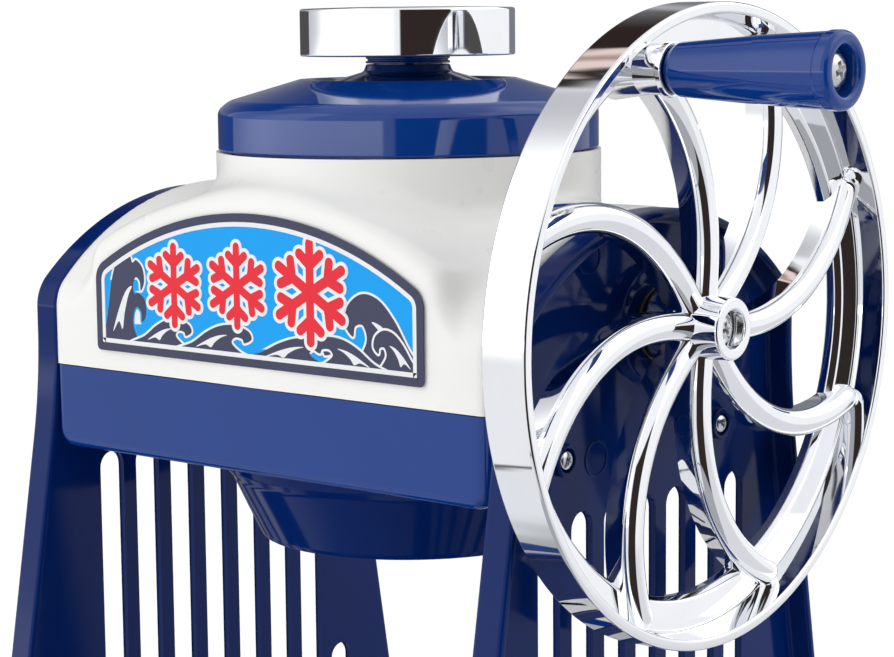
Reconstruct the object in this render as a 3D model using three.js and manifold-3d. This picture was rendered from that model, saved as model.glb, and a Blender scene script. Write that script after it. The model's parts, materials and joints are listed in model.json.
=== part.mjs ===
// Hand-cranked shaved ice machine in the retro household style: a white housing with a hopper, held
// between two slotted blue side plates on a base tray. A chromed hand wheel turns a bevel pinion, the
// pinion turns the ring gear under the ice drum, and the drum drags the ice over a fixed blade.
// Millimetres. +Z is up, +X points to the hand wheel, -Y is the front.
import * as THREE from "three";
import { mergeVertices } from "three/addons/utils/BufferGeometryUtils.js";
import Module from "manifold-3d";

const wasm = await Module();
wasm.setup();

// ---- driving dimensions ----
const gap = 0.3; // between pieces that touch
const shaftHeight = 270; // crank shaft above the table
const axisBack = 2; // hopper axis and crank shaft, behind the base's middle
const bodyBack = 1; // middle of the housing and of the side plates' outline, behind the base's middle

const wheel = { radius: 95, face: 122.2, back: 107.2, lip: 3.6, ledgeInner: 80.5, ledgeFace: 112.6 };
const hub = { radius: 9.3, face: 125.2, back: 100.4, recess: 5.6, seat: 120 };
const arm = { count: 8, width: 8, face: 117.6, back: 107.8, inner: 7 };
const armCurve = { first: 129.2, sweep: 31, bend: 1.44 };
const gripPlace = { angle: 115, orbit: 84.2, root: 129.2 };
const grip = { length: 54, rootRadius: 7.5, tipRadius: 10.6, end: 3.5 };
const shaft = { radius: 4, inner: 53, outer: 119.6 };

const plate = { inner: 91.7, outer: 102, web: 2.6, rim: 3, halfDepth: 70.5, bottom: 4, top: 304.4 };
const plateArch = { radius: 96, corner: 14 };
const flare = { top: 225, widen: 3.1, slope: 0.172, straightFrom: 261 };
const slot = { width: 8.2, pitch: 16, top: 217.5, shortTop: 128, bottom: 48 };

const housing = { halfWidth: 90, halfDepth: 72, bottom: 224.5, split: 250.3, top: 304.6, wall: 2.6 };
const housingArch = { radius: 96.3, corner: 12 };
const housingFront = bodyBack - housing.halfDepth;
const panel = { halfWidth: 75, radius: 150, top: 309.7, corner: 10 };
const label = { halfWidth: 69, bottom: 256.7, side: 283, top: 303.3, corner: 7, thickness: 0.4 };
const hopper = { radius: 61.9, bore: 59.3, root: 278, top: 319.4 };

const lid = { radius: 61.2, bottom: 319.8, shoulder: 331.7, top: 344, boss: 346.6, bossRadius: 13.4 };
const knob = { radius: 34.5, bottom: 349.3, top: 364.7, stud: 5, studDepth: 9 };
const press = { rod: 11, collar: 13.6, stem: 6, hubTop: 268.9 };
const pressDisc = { radius: 46, bottom: 262, spikeDepth: 5 };
const spring = { radius: 14, wire: 1, turns: 6, bottom: 269.2, top: 339.3 };

const drum = { inner: 49, outer: 52, bottom: 247.6, top: 312.5, ribs: 4 };
const gear = { teeth: 48, pinionTeeth: 12, module: 2.4, toothTop: 257.4, toothRoot: 253.2, bottom: 249.2 };
const gearRing = { inner: 52.3, outer: 63, toothInner: 53.6, toothOuter: 62.5 };
const deck = { radius: 66, skirtInner: 63, well: 63.5, wellTop: 252, top: 246.6, thickness: 3 };
const blade = { width: 22, length: 46, thickness: 1, middle: 29, tilt: 28, edge: 5.6 };
const bladeScrews = { back: 11, side: 16 };
const thrust = { inner: 53, outer: 62, bottom: 246.9, top: 248.9 };
const chute = { mouth: 45.6, shoulder: 65, bottom: 195, top: 224.2, wall: 2, collar: 59.6, lugs: 3 };

const tray = { halfWidth: 91.3, halfDepth: 107, bottom: 4, top: 22, basin: 72, basinFloor: 8 };
const drip = { radius: 76, bottom: 19.3, top: 22.3, slots: 14 };
const foot = { radius: 9, height: 6, x: 78, y: 92 };
const screw = { head: 2.9, headHeight: 1.8, shank: 1.5, length: 11 };

// ---- materials ----
function finish(color, roughness, metalness = 0) {
  return new THREE.MeshStandardMaterial({ color, roughness, metalness });
}
const materials = {
  blue: finish("#1b3f8f", 0.22),
  white: finish("#ececea", 0.3),
  chrome: finish("#f2f3f5", 0.06, 1),
  label: finish("#28a8ee", 0.4),
  steel: finish("#c9cccf", 0.25, 1),
  nylon: finish("#e6e3d8", 0.5),
  clear: finish("#dfe9f2", 0.15),
  rubber: finish("#2a2b2e", 0.8),
};

// ---- shared geometry helpers ----
const degrees = Math.PI / 180;
const polar = (radius, angle) => [radius * Math.cos(angle * degrees), radius * Math.sin(angle * degrees)];

// A three.js geometry as a manifold-3d solid, for joining and cutting.
function solid(geometry) {
  const flat = geometry.index ? geometry.toNonIndexed() : geometry;
  const bare = new THREE.BufferGeometry().setAttribute("position", flat.getAttribute("position"));
  const merged = mergeVertices(bare, 1e-4);
  const corners = merged.index.array;
  const kept = [];
  for (let i = 0; i < corners.length; i += 3) {
    const [a, b, c] = corners.subarray(i, i + 3);
    if (a !== b && b !== c && c !== a) kept.push(a, b, c);
  }
  const vertProperties = merged.attributes.position.array;
  return new wasm.Manifold(new wasm.Mesh({ numProp: 3, vertProperties, triVerts: new Uint32Array(kept) }));
}

// A manifold-3d solid as a three.js geometry.
function geometryOf(manifold) {
  const mesh = manifold.getMesh();
  const geometry = new THREE.BufferGeometry();
  geometry.setAttribute("position", new THREE.BufferAttribute(mesh.vertProperties, 3));
  geometry.setIndex(new THREE.BufferAttribute(mesh.triVerts, 1));
  geometry.computeVertexNormals();
  return geometry;
}

const join = (first, ...others) => others.reduce((whole, piece) => whole.add(piece), first);
const cut = (first, ...tools) => tools.reduce((rest, tool) => rest.subtract(tool), first);

function block(x, y, z) {
  const geometry = new THREE.BoxGeometry(x[1] - x[0], y[1] - y[0], z[1] - z[0]);
  geometry.translate((x[0] + x[1]) / 2, (y[0] + y[1]) / 2, (z[0] + z[1]) / 2);
  return solid(geometry);
}

function extruded(shape, length, matrix) {
  const geometry = new THREE.ExtrudeGeometry(shape, { depth: length, bevelEnabled: false });
  return solid(geometry.applyMatrix4(matrix));
}

// A shape drawn in Y and Z, from one X to another.
function alongX(shape, from, to) {
  const low = Math.min(from, to);
  const matrix = new THREE.Matrix4().set(0, 0, 1, low, 1, 0, 0, 0, 0, 1, 0, 0, 0, 0, 0, 1);
  return extruded(shape, Math.abs(to - from), matrix);
}

// A shape drawn in X and Z, from one Y to another.
function alongY(shape, from, to) {
  const high = Math.max(from, to);
  const matrix = new THREE.Matrix4().set(1, 0, 0, 0, 0, 0, -1, high, 0, 1, 0, 0, 0, 0, 0, 1);
  return extruded(shape, Math.abs(to - from), matrix);
}

// A shape drawn in X and Y, from one Z to another.
function alongZ(shape, from, to) {
  return extruded(shape, to - from, new THREE.Matrix4().makeTranslation(0, 0, from));
}

// A profile of [radius, height] points turned about Z. It starts and ends on the axis, or it is closed.
function turned(profile, segments = 36) {
  const points = profile.map(([radius, height]) => new THREE.Vector2(radius, height));
  const onAxis = profile[0][0] === 0 && profile[profile.length - 1][0] === 0;
  if (!onAxis) points.push(points[0].clone());
  if (THREE.ShapeUtils.area(points) < 0) points.reverse();
  return solid(new THREE.LatheGeometry(points, segments).rotateX(Math.PI / 2));
}

// The same, turned about X: the profile's second number is X.
function turnedX(profile, segments = 36) {
  return solid(geometryOf(turned(profile, segments)).rotateY(Math.PI / 2));
}

const turnedRound = (piece, angle) => solid(geometryOf(piece).rotateZ(angle * degrees));
const moved = (piece, x, y, z) => solid(geometryOf(piece).translate(x, y, z));

const outline = (points) => new THREE.Shape(points);
const outlineOf = (pairs) => outline(pairs.map(([across, up]) => new THREE.Vector2(across, up)));

// Points along an arc from one angle to another, close enough together to look round.
function arc(x, y, radius, from, to) {
  const step = (2 * Math.acos(1 - 0.2 / radius)) / degrees;
  const count = Math.ceil(Math.abs(to - from) / step);
  const points = [];
  for (let i = 0; i <= count; i++) {
    const [across, up] = polar(radius, from + ((to - from) * i) / count);
    points.push(new THREE.Vector2(x + across, y + up));
  }
  return points;
}

const circle = (x, y, radius) => outline(arc(x, y, radius, 0, 360).slice(0, -1));

function roundedRectangle(halfWidth, halfHeight, radius) {
  const x = halfWidth - radius;
  const y = halfHeight - radius;
  const right = [...arc(x, -y, radius, -90, 0), ...arc(x, y, radius, 0, 90)];
  return outline([...right, ...arc(-x, y, radius, 90, 180), ...arc(-x, -y, radius, 180, 270)]);
}

// An upright slot with round ends, centred on x.
function stadium(x, width, low, high) {
  const radius = width / 2;
  return outline([...arc(x, high - radius, radius, 0, 180), ...arc(x, low + radius, radius, 180, 360)]);
}

// The round shoulders and the arched top between two upright sides, from right to left.
function archTop(halfWidth, top, radius, corner) {
  const centre = top - radius;
  const cornerX = halfWidth - corner;
  const cornerZ = centre + Math.sqrt((radius - corner) ** 2 - cornerX ** 2);
  const turn = Math.atan2(cornerZ - centre, cornerX) / degrees;
  const right = arc(cornerX, cornerZ, corner, 0, turn);
  const left = arc(-cornerX, cornerZ, corner, 180 - turn, 180);
  return [...right, ...arc(0, centre, radius, turn, 180 - turn), ...left];
}

function archedPoints(halfWidth, bottom, top, radius, corner) {
  const foot = [new THREE.Vector2(-halfWidth, bottom), new THREE.Vector2(halfWidth, bottom)];
  return [...foot, ...archTop(halfWidth, top, radius, corner)];
}

const shifted = (points, across) => points.map((point) => new THREE.Vector2(point.x + across, point.y));

// ---- scene graph ----
const machine = new THREE.Group(); // origin on the table, under the side plates' middle
const hopperAxis = new THREE.Group(); // what is centred on the vertical axis of hopper and drum
hopperAxis.position.set(0, axisBack, 0);
const crank = new THREE.Group(); // what turns about the crank shaft
crank.position.set(0, axisBack, shaftHeight);
const gripMount = new THREE.Group(); // the grip's own axis, along +X in this group
machine.add(hopperAxis, crank);
crank.add(gripMount);

function addPart(name, material, piece, parent = machine) {
  const mesh = new THREE.Mesh(geometryOf(piece.simplify(0.02)), material);
  mesh.name = name;
  parent.add(mesh);
  return mesh;
}

// ---- side plates ----
// The plate's outline in Y and Z: flared legs, straight upper sides and an arched top, moved in by inset.
function plateOutline(inset) {
  const halfDepth = plate.halfDepth - inset;
  const bottom = plate.bottom + inset;
  const flareDepth = halfDepth + flare.widen;
  const bottomDepth = flareDepth + (flare.top - bottom) * flare.slope;
  const from = new THREE.Vector2(flareDepth, flare.top);
  const bend = new THREE.Vector2(halfDepth, flare.top + flare.widen / flare.slope);
  const curve = new THREE.QuadraticBezierCurve(from, bend, new THREE.Vector2(halfDepth, flare.straightFrom));
  const right = [new THREE.Vector2(bottomDepth, bottom), ...curve.getPoints(5)];
  const left = right.map((point) => new THREE.Vector2(-point.x, point.y)).reverse();
  const top = archTop(halfDepth, plate.top - inset, plateArch.radius - inset, plateArch.corner - inset);
  return outline(shifted([...right, ...top, ...left], bodyBack));
}

function slotOutlines() {
  const outlines = [];
  for (let i = -4; i <= 4; i++) {
    const top = Math.abs(i) === 4 ? slot.shortTop : slot.top;
    outlines.push(stadium(i * slot.pitch, slot.width, slot.bottom, top));
  }
  return outlines;
}

const housingScrews = [-40, 40].map((y) => [y, 234]);
const baseScrews = [-80, 80].map((y) => [y, 13]);

// Clearance holes for the plate screws, through whatever stands at X = 80 to 110 on the given side.
function screwHoles(places, side) {
  return places.map(([y, z]) => alongX(circle(y, z, screw.shank + gap), side * 79, side * 110));
}

function sidePlate(side) {
  const webOuter = plate.inner + plate.web;
  const web = plateOutline(0);
  web.holes = slotOutlines();
  const rim = plateOutline(0);
  rim.holes = [plateOutline(plate.rim)];
  const bossEnd = webOuter + 3.4;
  const boss = turnedX([[0, webOuter - 0.5], [19, webOuter - 0.5], [17.5, bossEnd], [0, bossEnd]], 32);
  const pieces = [alongX(web, side * plate.inner, side * webOuter)];
  pieces.push(alongX(rim, side * (webOuter - 0.5), side * plate.outer));
  pieces.push(moved(side > 0 ? boss : turnedRound(boss, 180), 0, axisBack, shaftHeight));
  const holes = screwHoles([...housingScrews, ...baseScrews], side);
  if (side > 0) holes.push(alongX(circle(axisBack, shaftHeight, 9), 80, 110));
  return cut(join(...pieces), ...holes);
}

addPart("side_plate_right", materials.blue, sidePlate(1));
addPart("side_plate_left", materials.blue, sidePlate(-1));

// A pan-head screw along X, with its head outwards.
function plateScrew(side) {
  const under = plate.inner + plate.web + gap;
  const tip = under - screw.length;
  const end = under + screw.headHeight;
  const profile = [[0, tip], [screw.shank, tip + 1], [screw.shank, under], [screw.head, under]];
  profile.push([screw.head - 0.4, end - 0.5], [screw.head - 1.3, end], [0, end]);
  const piece = turnedX(profile, 10);
  return side > 0 ? piece : turnedRound(piece, 180);
}

for (const [sideName, side] of [["right", 1], ["left", -1]]) {
  for (const [rowName, row] of [["housing", housingScrews], ["base", baseScrews]]) {
    row.forEach(([y, z], i) => {
      const name = `screw_${rowName}_${sideName}_${i === 0 ? "front" : "rear"}`;
      addPart(name, materials.steel, plateScrew(side)).position.set(0, y, z);
    });
  }
}

// ---- housing ----
// The housing seen from the side, moved in by inset; its hollow runs on down past the split.
function sideArch(inset) {
  const { halfDepth, split, top } = housing;
  const { radius, corner } = housingArch;
  const bottom = split - 2 * inset;
  const points = archedPoints(halfDepth - inset, bottom, top - inset, radius - inset, corner - inset);
  return outline(shifted(points, bodyBack));
}

// The raised panel seen from the front, moved in by inset.
function frontArch(inset) {
  const { halfWidth, radius, top, corner } = panel;
  const bottom = housing.split - 2 * inset;
  return outline(archedPoints(halfWidth - inset, bottom, top - inset, radius - inset, corner - inset));
}

function upperHousing() {
  const { halfWidth, wall } = housing;
  const { radius, bore, root, top } = hopper;
  const onAxis = (profile) => moved(turned(profile, 48), 0, axisBack, 0);
  const pinionRoom = alongX(circle(axisBack, shaftHeight, 18), 40, halfWidth - 10);
  const neck = cut(onAxis([[bore, root], [radius, root], [radius, top], [bore, top]]), pinionRoom);
  const mainBody = alongX(sideArch(0), -halfWidth, halfWidth);
  const raisedPanel = alongY(frontArch(0), housingFront, axisBack);
  const sideHollow = alongX(sideArch(wall), wall - halfWidth, halfWidth - wall);
  const frontHollow = alongY(frontArch(wall), housingFront + wall, axisBack - wall);
  const opening = onAxis([[0, root - 2], [bore, root - 2], [bore, top + 10], [0, top + 10]]);
  const shaftHole = alongX(circle(axisBack, shaftHeight, 7), halfWidth - 10, halfWidth + 5);
  return join(cut(join(mainBody, raisedPanel), sideHollow, frontHollow, opening, shaftHole), neck);
}

function lowerHousing() {
  const { halfWidth, halfDepth, wall, bottom, split } = housing;
  const top = split - gap;
  const tall = alongY(roundedRectangle(halfWidth, 60, 4), -halfDepth, halfDepth);
  const placed = moved(tall, 0, bodyBack, bottom + 60);
  const outside = cut(placed, block([-100, 100], [-90, 90], [top, bottom + 130]));
  const depth = [housingFront + wall, bodyBack + halfDepth - wall];
  const hollow = block([wall - halfWidth, halfWidth - wall], depth, [bottom + wall, top + 5]);
  const pads = [];
  const holes = [];
  for (const side of [-1, 1]) {
    const reach = [side * (halfWidth - 1), side * (halfWidth - 9)].sort((a, b) => a - b);
    for (const [y, z] of housingScrews) pads.push(block(reach, [y - 6, y + 6], [bottom + 1, z + 7]));
    holes.push(...screwHoles(housingScrews, side));
  }
  holes.push(alongZ(circle(0, axisBack, chute.collar + gap), bottom - 5, bottom + 8));
  for (let i = 0; i < chute.lugs; i++) {
    const notch = turnedRound(block([0, 62.2], [-6, 6], [bottom - 5, bottom + 8]), i * 120 + 30);
    holes.push(moved(notch, 0, axisBack, 0));
  }
  return cut(join(cut(outside, hollow), ...pads), ...holes);
}

addPart("upper_housing", materials.white, upperHousing());
addPart("lower_housing", materials.blue, lowerHousing());

// The label: a thin arched plate on the front panel.
function labelPlate() {
  const { halfWidth, bottom, side, top, corner, thickness } = label;
  const rise = top - side;
  const radius = (halfWidth ** 2 + rise ** 2) / (2 * rise);
  const back = housingFront - gap;
  return alongY(outline(archedPoints(halfWidth, bottom, top, radius, corner)), back - thickness, back);
}
addPart("label_plate", materials.label, labelPlate());

// ---- cutting deck, blade and chute ----
const floorTop = housing.bottom + housing.wall;

// The blade's own axes: its cutting edge is at +Y, and it dips under the deck towards -Y.
const bladeSeat = new THREE.Group();
bladeSeat.position.set(blade.middle, 0, deck.top - 1.8);
bladeSeat.rotation.x = blade.tilt * degrees;
hopperAxis.add(bladeSeat);

const bladeScrewPlaces = [-bladeScrews.side, bladeScrews.side].map((x) => [x, -bladeScrews.back]);
const bladeBack = blade.edge - blade.width;

function bladeHoles(from, to) {
  const radius = screw.shank + gap;
  const hole = turned([[0, from], [radius, from], [radius, to], [0, to]], 10);
  return bladeScrewPlaces.map(([x, y]) => moved(hole, x, y, 0));
}

// The fixed deck under the ice: a disc on a skirt, a well for the ring gear, and a sloped seat for the blade.
function bladePlate() {
  const { radius, skirtInner, well, wellTop, top, thickness } = deck;
  const foot = floorTop + gap;
  const under = [[0, top - thickness], [skirtInner, top - thickness], [skirtInner, foot], [radius, foot]];
  const profile = [...under, [radius, wellTop], [well, wellTop], [well, top], [0, top]];
  const reach = blade.length / 2 + 1.5;
  const opening = block([blade.middle - reach, blade.middle + reach], [-6.5, 6], [top - 8, top + 2]);
  const slope = [[-6.5, top - 4.1], [-14.8, top - 8.5]];
  const seat = [...slope, [-19, top - 8.5], [-19, top - 1], [-6.5, top - 1]];
  const seatBody = alongX(outlineOf(seat), blade.middle - reach, blade.middle + reach);
  bladeSeat.updateMatrix();
  const inSeat = (hole) => solid(geometryOf(hole).applyMatrix4(bladeSeat.matrix));
  const holes = bladeHoles(-5, 4.6).map(inSeat);
  return cut(join(cut(turned(profile, 48), opening), seatBody), ...holes);
}

function bladePiece() {
  const { length, thickness, edge } = blade;
  const half = thickness / 2;
  const section = [[bladeBack, -half], [edge, -half], [edge - 2 * thickness, half], [bladeBack, half]];
  return cut(alongX(outlineOf(section), -length / 2, length / 2), ...bladeHoles(-3, 3));
}

const clampBottom = -blade.thickness / 2 - gap - 3;

function bladeClamp() {
  const reach = blade.length / 2 + 1;
  const bar = block([-reach, reach], [bladeBack, bladeBack + 11], [clampBottom, clampBottom + 3]);
  return cut(bar, ...bladeHoles(-9, 3));
}

function bladeScrew() {
  const seat = clampBottom - gap;
  const head = [[0, seat - 2.2], [2.4, seat - 1.8], [2.9, seat], [screw.shank, seat]];
  return turned([...head, [screw.shank, 4], [0, 4]], 10);
}

addPart("blade_plate", materials.white, bladePlate(), hopperAxis);
addPart("blade", materials.steel, bladePiece(), bladeSeat);
addPart("blade_clamp", materials.steel, bladeClamp(), bladeSeat);
["blade_screw_inner", "blade_screw_outer"].forEach((name, i) => {
  addPart(name, materials.steel, bladeScrew(), bladeSeat).position.set(...bladeScrewPlaces[i], 0);
});

// The ice chute: a cone on a bayonet collar. Its lugs rest on the housing floor, inside the blade
// plate's skirt.
function iceChute() {
  const { mouth, shoulder, bottom, top, wall, collar } = chute;
  const floor = floorTop + gap;
  const outside = [[mouth, bottom], [mouth + 1, bottom + 1], [59, 213.5], [64.4, 221.6], [shoulder, top]];
  const lip = floor + 2;
  const upstand = [[collar, top], [collar, lip], [collar - wall, lip], [collar - wall, top - 5]];
  const body = turned([...outside, ...upstand, [56.2, 214], [mouth - wall, bottom + 0.8]], 40);
  const lugs = [];
  for (let i = 0; i < chute.lugs; i++) {
    lugs.push(turnedRound(block([collar - 1, collar + 1.6], [-4, 4], [floor, lip]), i * 120));
  }
  return join(body, ...lugs);
}
addPart("ice_chute", materials.blue, iceChute(), hopperAxis);

// ---- ice drum and its drive ----
function iceDrum() {
  const { inner, outer, bottom, top } = drum;
  const profile = [[inner, bottom], [outer, bottom], [outer, top - 3], [outer + 1.5, top], [inner, top]];
  const ribs = [];
  const rib = block([inner - 2.2, inner + 1], [-1.5, 1.5], [bottom + 1, top - 6]);
  for (let i = 0; i < drum.ribs; i++) ribs.push(turnedRound(rib, (i * 360) / drum.ribs));
  return join(turned(profile, 40), ...ribs);
}

function ringGear() {
  const { toothTop, toothRoot, bottom, teeth } = gear;
  const { inner, outer, toothInner, toothOuter } = gearRing;
  const ring = turned([[inner, bottom], [outer, bottom], [outer, toothRoot], [inner, toothRoot]], 44);
  const low = toothRoot - 0.5;
  const section = outlineOf([[-1.5, low], [1.5, low], [0.9, toothTop], [-0.9, toothTop]]);
  const tooth = alongX(section, toothInner, toothOuter);
  const allTeeth = [];
  for (let i = 0; i < teeth; i++) {
    allTeeth.push(turnedRound(tooth, ((i + 0.5) * 360) / teeth));
  }
  return join(ring, ...allTeeth);
}

function thrustRing() {
  const { inner, outer, bottom, top } = thrust;
  return turned([[inner, bottom], [outer, bottom], [outer, top], [inner, top]], 40);
}

// A spur pinion. At rest one of its teeth points straight down, between two teeth of the ring gear.
function drivePinion() {
  const pitchRadius = (gear.module * gear.pinionTeeth) / 2;
  const root = pitchRadius - gear.module;
  const tip = pitchRadius + 0.75 * gear.module;
  const points = [];
  for (let i = 0; i < gear.pinionTeeth; i++) {
    const turn = ((i * 360) / gear.pinionTeeth - 90) * degrees;
    for (const [radius, side] of [[root, -1.6], [tip, -0.8], [tip, 0.8], [root, 1.6]]) {
      points.push(new THREE.Vector2(radius, side).rotateAround(new THREE.Vector2(), turn));
    }
  }
  const barrel = turnedX([[0, 61], [8, 61], [8, 65.8], [0, 65.8]], 20);
  const bore = shaft.radius + gap;
  const hole = turnedX([[0, 40], [bore, 40], [bore, 80], [0, 80]], 20);
  return cut(join(alongX(outline(points), 54.2, 62), barrel), hole);
}

// A block that stands on the housing floor and holds the shaft's inner bush.
function shaftBracket() {
  const floor = floorTop + gap;
  const legs = [new THREE.Vector2(axisBack - 17, floor), new THREE.Vector2(axisBack + 17, floor)];
  const shape = outline([...legs, ...arc(axisBack, shaftHeight, 12, 0, 180)]);
  shape.holes = [circle(axisBack, shaftHeight, 7.3)];
  return alongX(shape, 67, 73.4);
}

// A flanged bush: its sleeve runs from one X to another, its flange is at the far end.
function bush(outer, flange, from, to) {
  const bore = shaft.radius + gap;
  const step = to - 1.4;
  return turnedX([[bore, from], [outer, from], [outer, step], [flange, step], [flange, to], [bore, to]], 20);
}

function crankShaft() {
  const { radius, inner, outer } = shaft;
  const hole = screw.shank + gap;
  const profile = [[0, inner], [radius - 0.6, inner], [radius, inner + 0.8], [radius, outer], [hole, outer]];
  return turnedX([...profile, [hole, outer - 13], [0, outer - 13]], 20);
}

addPart("ice_drum", materials.clear, iceDrum(), hopperAxis);
addPart("ring_gear", materials.nylon, ringGear(), hopperAxis);
addPart("thrust_ring", materials.nylon, thrustRing(), hopperAxis);
addPart("shaft_bracket", materials.nylon, shaftBracket());
addPart("shaft_bush_outer", materials.nylon, bush(8.7, 11.5, 91.8, 99.4), crank);
addPart("shaft_bush_inner", materials.nylon, bush(7, 9, 67, 75.1), crank);
addPart("drive_pinion", materials.nylon, drivePinion(), crank);
addPart("crank_shaft", materials.steel, crankShaft(), crank);
const collarProfile = [[4.3, 75.6], [7.4, 75.6], [7.4, 79.6], [4.3, 79.6]];
addPart("shaft_collar", materials.steel, turnedX(collarProfile, 20), crank);

// ---- hand wheel ----
function wheelRim() {
  const { radius, face, back, lip, ledgeInner, ledgeFace } = wheel;
  const profile = [[radius - 0.8, back], [radius, back + 0.8], [radius, face - 1.2], [radius - 1.2, face]];
  profile.push([radius - lip + 0.6, face], [radius - lip, face - 0.8], [radius - lip - 0.4, ledgeFace]);
  profile.push([ledgeInner + 1.6, ledgeFace], [ledgeInner, ledgeFace - 1.6], [ledgeInner, back]);
  return turnedX(profile, 48);
}

// How far an arm has swept round, in degrees, where it crosses the given radius.
const armSweep = (radius) => Math.max(0, (radius - 15) / 75) ** armCurve.bend * armCurve.sweep;

// One swept arm, drawn in Y and Z: it leaves the hub straight and bends towards the rim.
function wheelArm(start) {
  const outer = (wheel.radius + wheel.ledgeInner) / 2;
  const steps = 7;
  const left = [];
  const right = [];
  for (let i = 0; i <= steps; i++) {
    const radius = arm.inner + ((outer - arm.inner) * i) / steps;
    const centre = new THREE.Vector2(...polar(radius, start + armSweep(radius)));
    const ahead = new THREE.Vector2(...polar(radius + 0.1, start + armSweep(radius + 0.1)));
    const across = ahead.sub(centre).setLength(arm.width / 2).rotateAround(new THREE.Vector2(), Math.PI / 2);
    left.unshift(centre.clone().add(across));
    right.push(centre.clone().sub(across));
  }
  return alongX(outline([...right, ...left]), arm.back, arm.face);
}

const gripCentre = polar(gripPlace.orbit, gripPlace.angle);

function handWheel() {
  const { radius, face, back, recess, seat } = hub;
  const profile = [[0, back], [radius + 2, back], [radius + 2, arm.back + 3], [radius, arm.face - 1]];
  const barrel = turnedX([...profile, [radius, face - 1], [radius - 1, face], [0, face]], 28);
  const arms = [];
  for (let i = 0; i < arm.count; i++) arms.push(wheelArm(armCurve.first + (i * 360) / arm.count));
  const bossBack = wheel.back + 0.6;
  const bossEnd = gripPlace.root - gap;
  const flange = bossEnd - 1.5;
  const bossSide = [[0, bossBack], [7.2, bossBack], [7.2, flange], [7.8, flange]];
  const boss = turnedX([...bossSide, [7.8, bossEnd], [0, bossEnd]], 20);
  const boltHole = turnedX([[0, 112], [2.1, 112], [2.1, 135], [0, 135]], 10);
  const bore = shaft.radius + gap;
  const hubHole = turnedX([[0, 90], [bore, 90], [bore, seat], [recess, seat], [recess, 130], [0, 130]], 28);
  const whole = join(wheelRim(), barrel, ...arms, moved(boss, 0, ...gripCentre));
  return cut(whole, hubHole, moved(boltHole, 0, ...gripCentre));
}

// A screw with a pan head whose underside is at X = seat.
function panScrew(seat, length, head) {
  const tip = seat - length;
  const shank = [[0, tip], [screw.shank, tip + 1], [screw.shank, seat]];
  const top = [[head, seat], [head - 0.2, seat + 1.4], [head - 1.7, seat + 2.2], [0, seat + 2.2]];
  return turnedX([...shank, ...top], 16);
}

addPart("hand_wheel", materials.chrome, handWheel(), crank);
addPart("hub_screw", materials.steel, panScrew(hub.seat + gap, 12, 4.8), crank);

// ---- grip ----
gripMount.position.set(gripPlace.root, ...gripCentre);

const gripFloor = grip.length - 7; // bottom of the counterbore in the grip's end

function gripBody() {
  const { length, rootRadius, tipRadius, end } = grip;
  const outside = [[rootRadius - 1.6, 0], [rootRadius, 1.8], [tipRadius, length - end]];
  const tip = [[tipRadius - 1, length - 1], [tipRadius - end, length]];
  const inside = [[6.6, length], [6.4, gripFloor], [2, gripFloor], [2, 0]];
  return turnedX([...outside, ...tip, ...inside], 28);
}

addPart("grip", materials.blue, gripBody(), gripMount);
addPart("grip_bolt", materials.steel, panScrew(gripFloor + gap, gripFloor + gap + 9, 4.3), gripMount);

// ---- lid and ice press ----
function hopperLid() {
  const { radius, bottom, shoulder, top, boss, bossRadius } = lid;
  const skirt = { outer: hopper.bore - gap, inner: hopper.bore - 2.7, bottom: bottom - 5 };
  const bore = press.rod + gap;
  const side = [[radius - 0.6, bottom], [radius, bottom + 0.8], [radius, shoulder], [59.6, 334], [56.9, 336]];
  const crown = [[51.4, 337.7], [44, 339.5], [33.5, 342.2], [bossRadius, top], [bossRadius, boss]];
  const inside = [[bore, boss], [bore, 339.6], [31, 339.6], [51, 335], [skirt.inner, 331]];
  const tail = [[skirt.inner, skirt.bottom], [skirt.outer, skirt.bottom], [skirt.outer, bottom]];
  return turned([...side, ...crown, ...inside, ...tail], 40);
}

function knobDisc() {
  const { radius, bottom, top, stud, studDepth } = knob;
  const hole = stud + gap;
  const roof = bottom + studDepth + gap;
  const under = [[0, roof], [hole, roof], [hole, bottom], [radius - 0.8, bottom], [radius, bottom + 0.8]];
  return turned([...under, [radius, top - 0.8], [radius - 0.8, top], [0, top]], 40);
}

function pressRod() {
  const { rod, collar, stem, hubTop } = press;
  const low = pressDisc.bottom + 1.8;
  const seat = lid.boss + gap;
  const high = knob.bottom - gap;
  const tip = high + knob.studDepth;
  const shank = [[0, low], [stem, low], [stem, hubTop + gap], [rod, hubTop + gap], [rod, seat]];
  const stud = [[collar, seat], [collar, high], [knob.stud, high], [knob.stud, tip], [0, tip]];
  return turned([...shank, ...stud], 24);
}

// The spiked plate that holds the ice down.
function pressPlate() {
  const { stem, hubTop } = press;
  const { radius, bottom, spikeDepth } = pressDisc;
  const disc = [[0, bottom], [radius, bottom], [radius, bottom + 3], [17, bottom + 3.6]];
  const socket = [[17, hubTop], [stem + gap, hubTop], [stem + gap, bottom + 1.5], [0, bottom + 1.5]];
  const spike = turned([[0, bottom - spikeDepth], [2.4, bottom + 0.5], [0, bottom + 0.5]], 6);
  const spikes = [];
  for (let i = 0; i < 8; i++) {
    spikes.push(moved(spike, ...polar(i % 2 ? 34 : 18, i * 45), 0));
  }
  return join(turned([...disc, ...socket], 32), ...spikes);
}

class Helix extends THREE.Curve {
  getPoint(share, target = new THREE.Vector3()) {
    const [x, y] = polar(spring.radius, share * spring.turns * 360);
    const height = spring.top - spring.bottom - 2.2 * spring.wire;
    return target.set(x, y, spring.bottom + 1.1 * spring.wire + height * share);
  }
}

function pressSpring() {
  const options = { steps: spring.turns * 10, extrudePath: new Helix(), bevelEnabled: false };
  const section = Array.from({ length: 5 }, (_, i) => new THREE.Vector2(...polar(spring.wire, i * 72)));
  return solid(new THREE.ExtrudeGeometry(outline(section), options));
}

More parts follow.
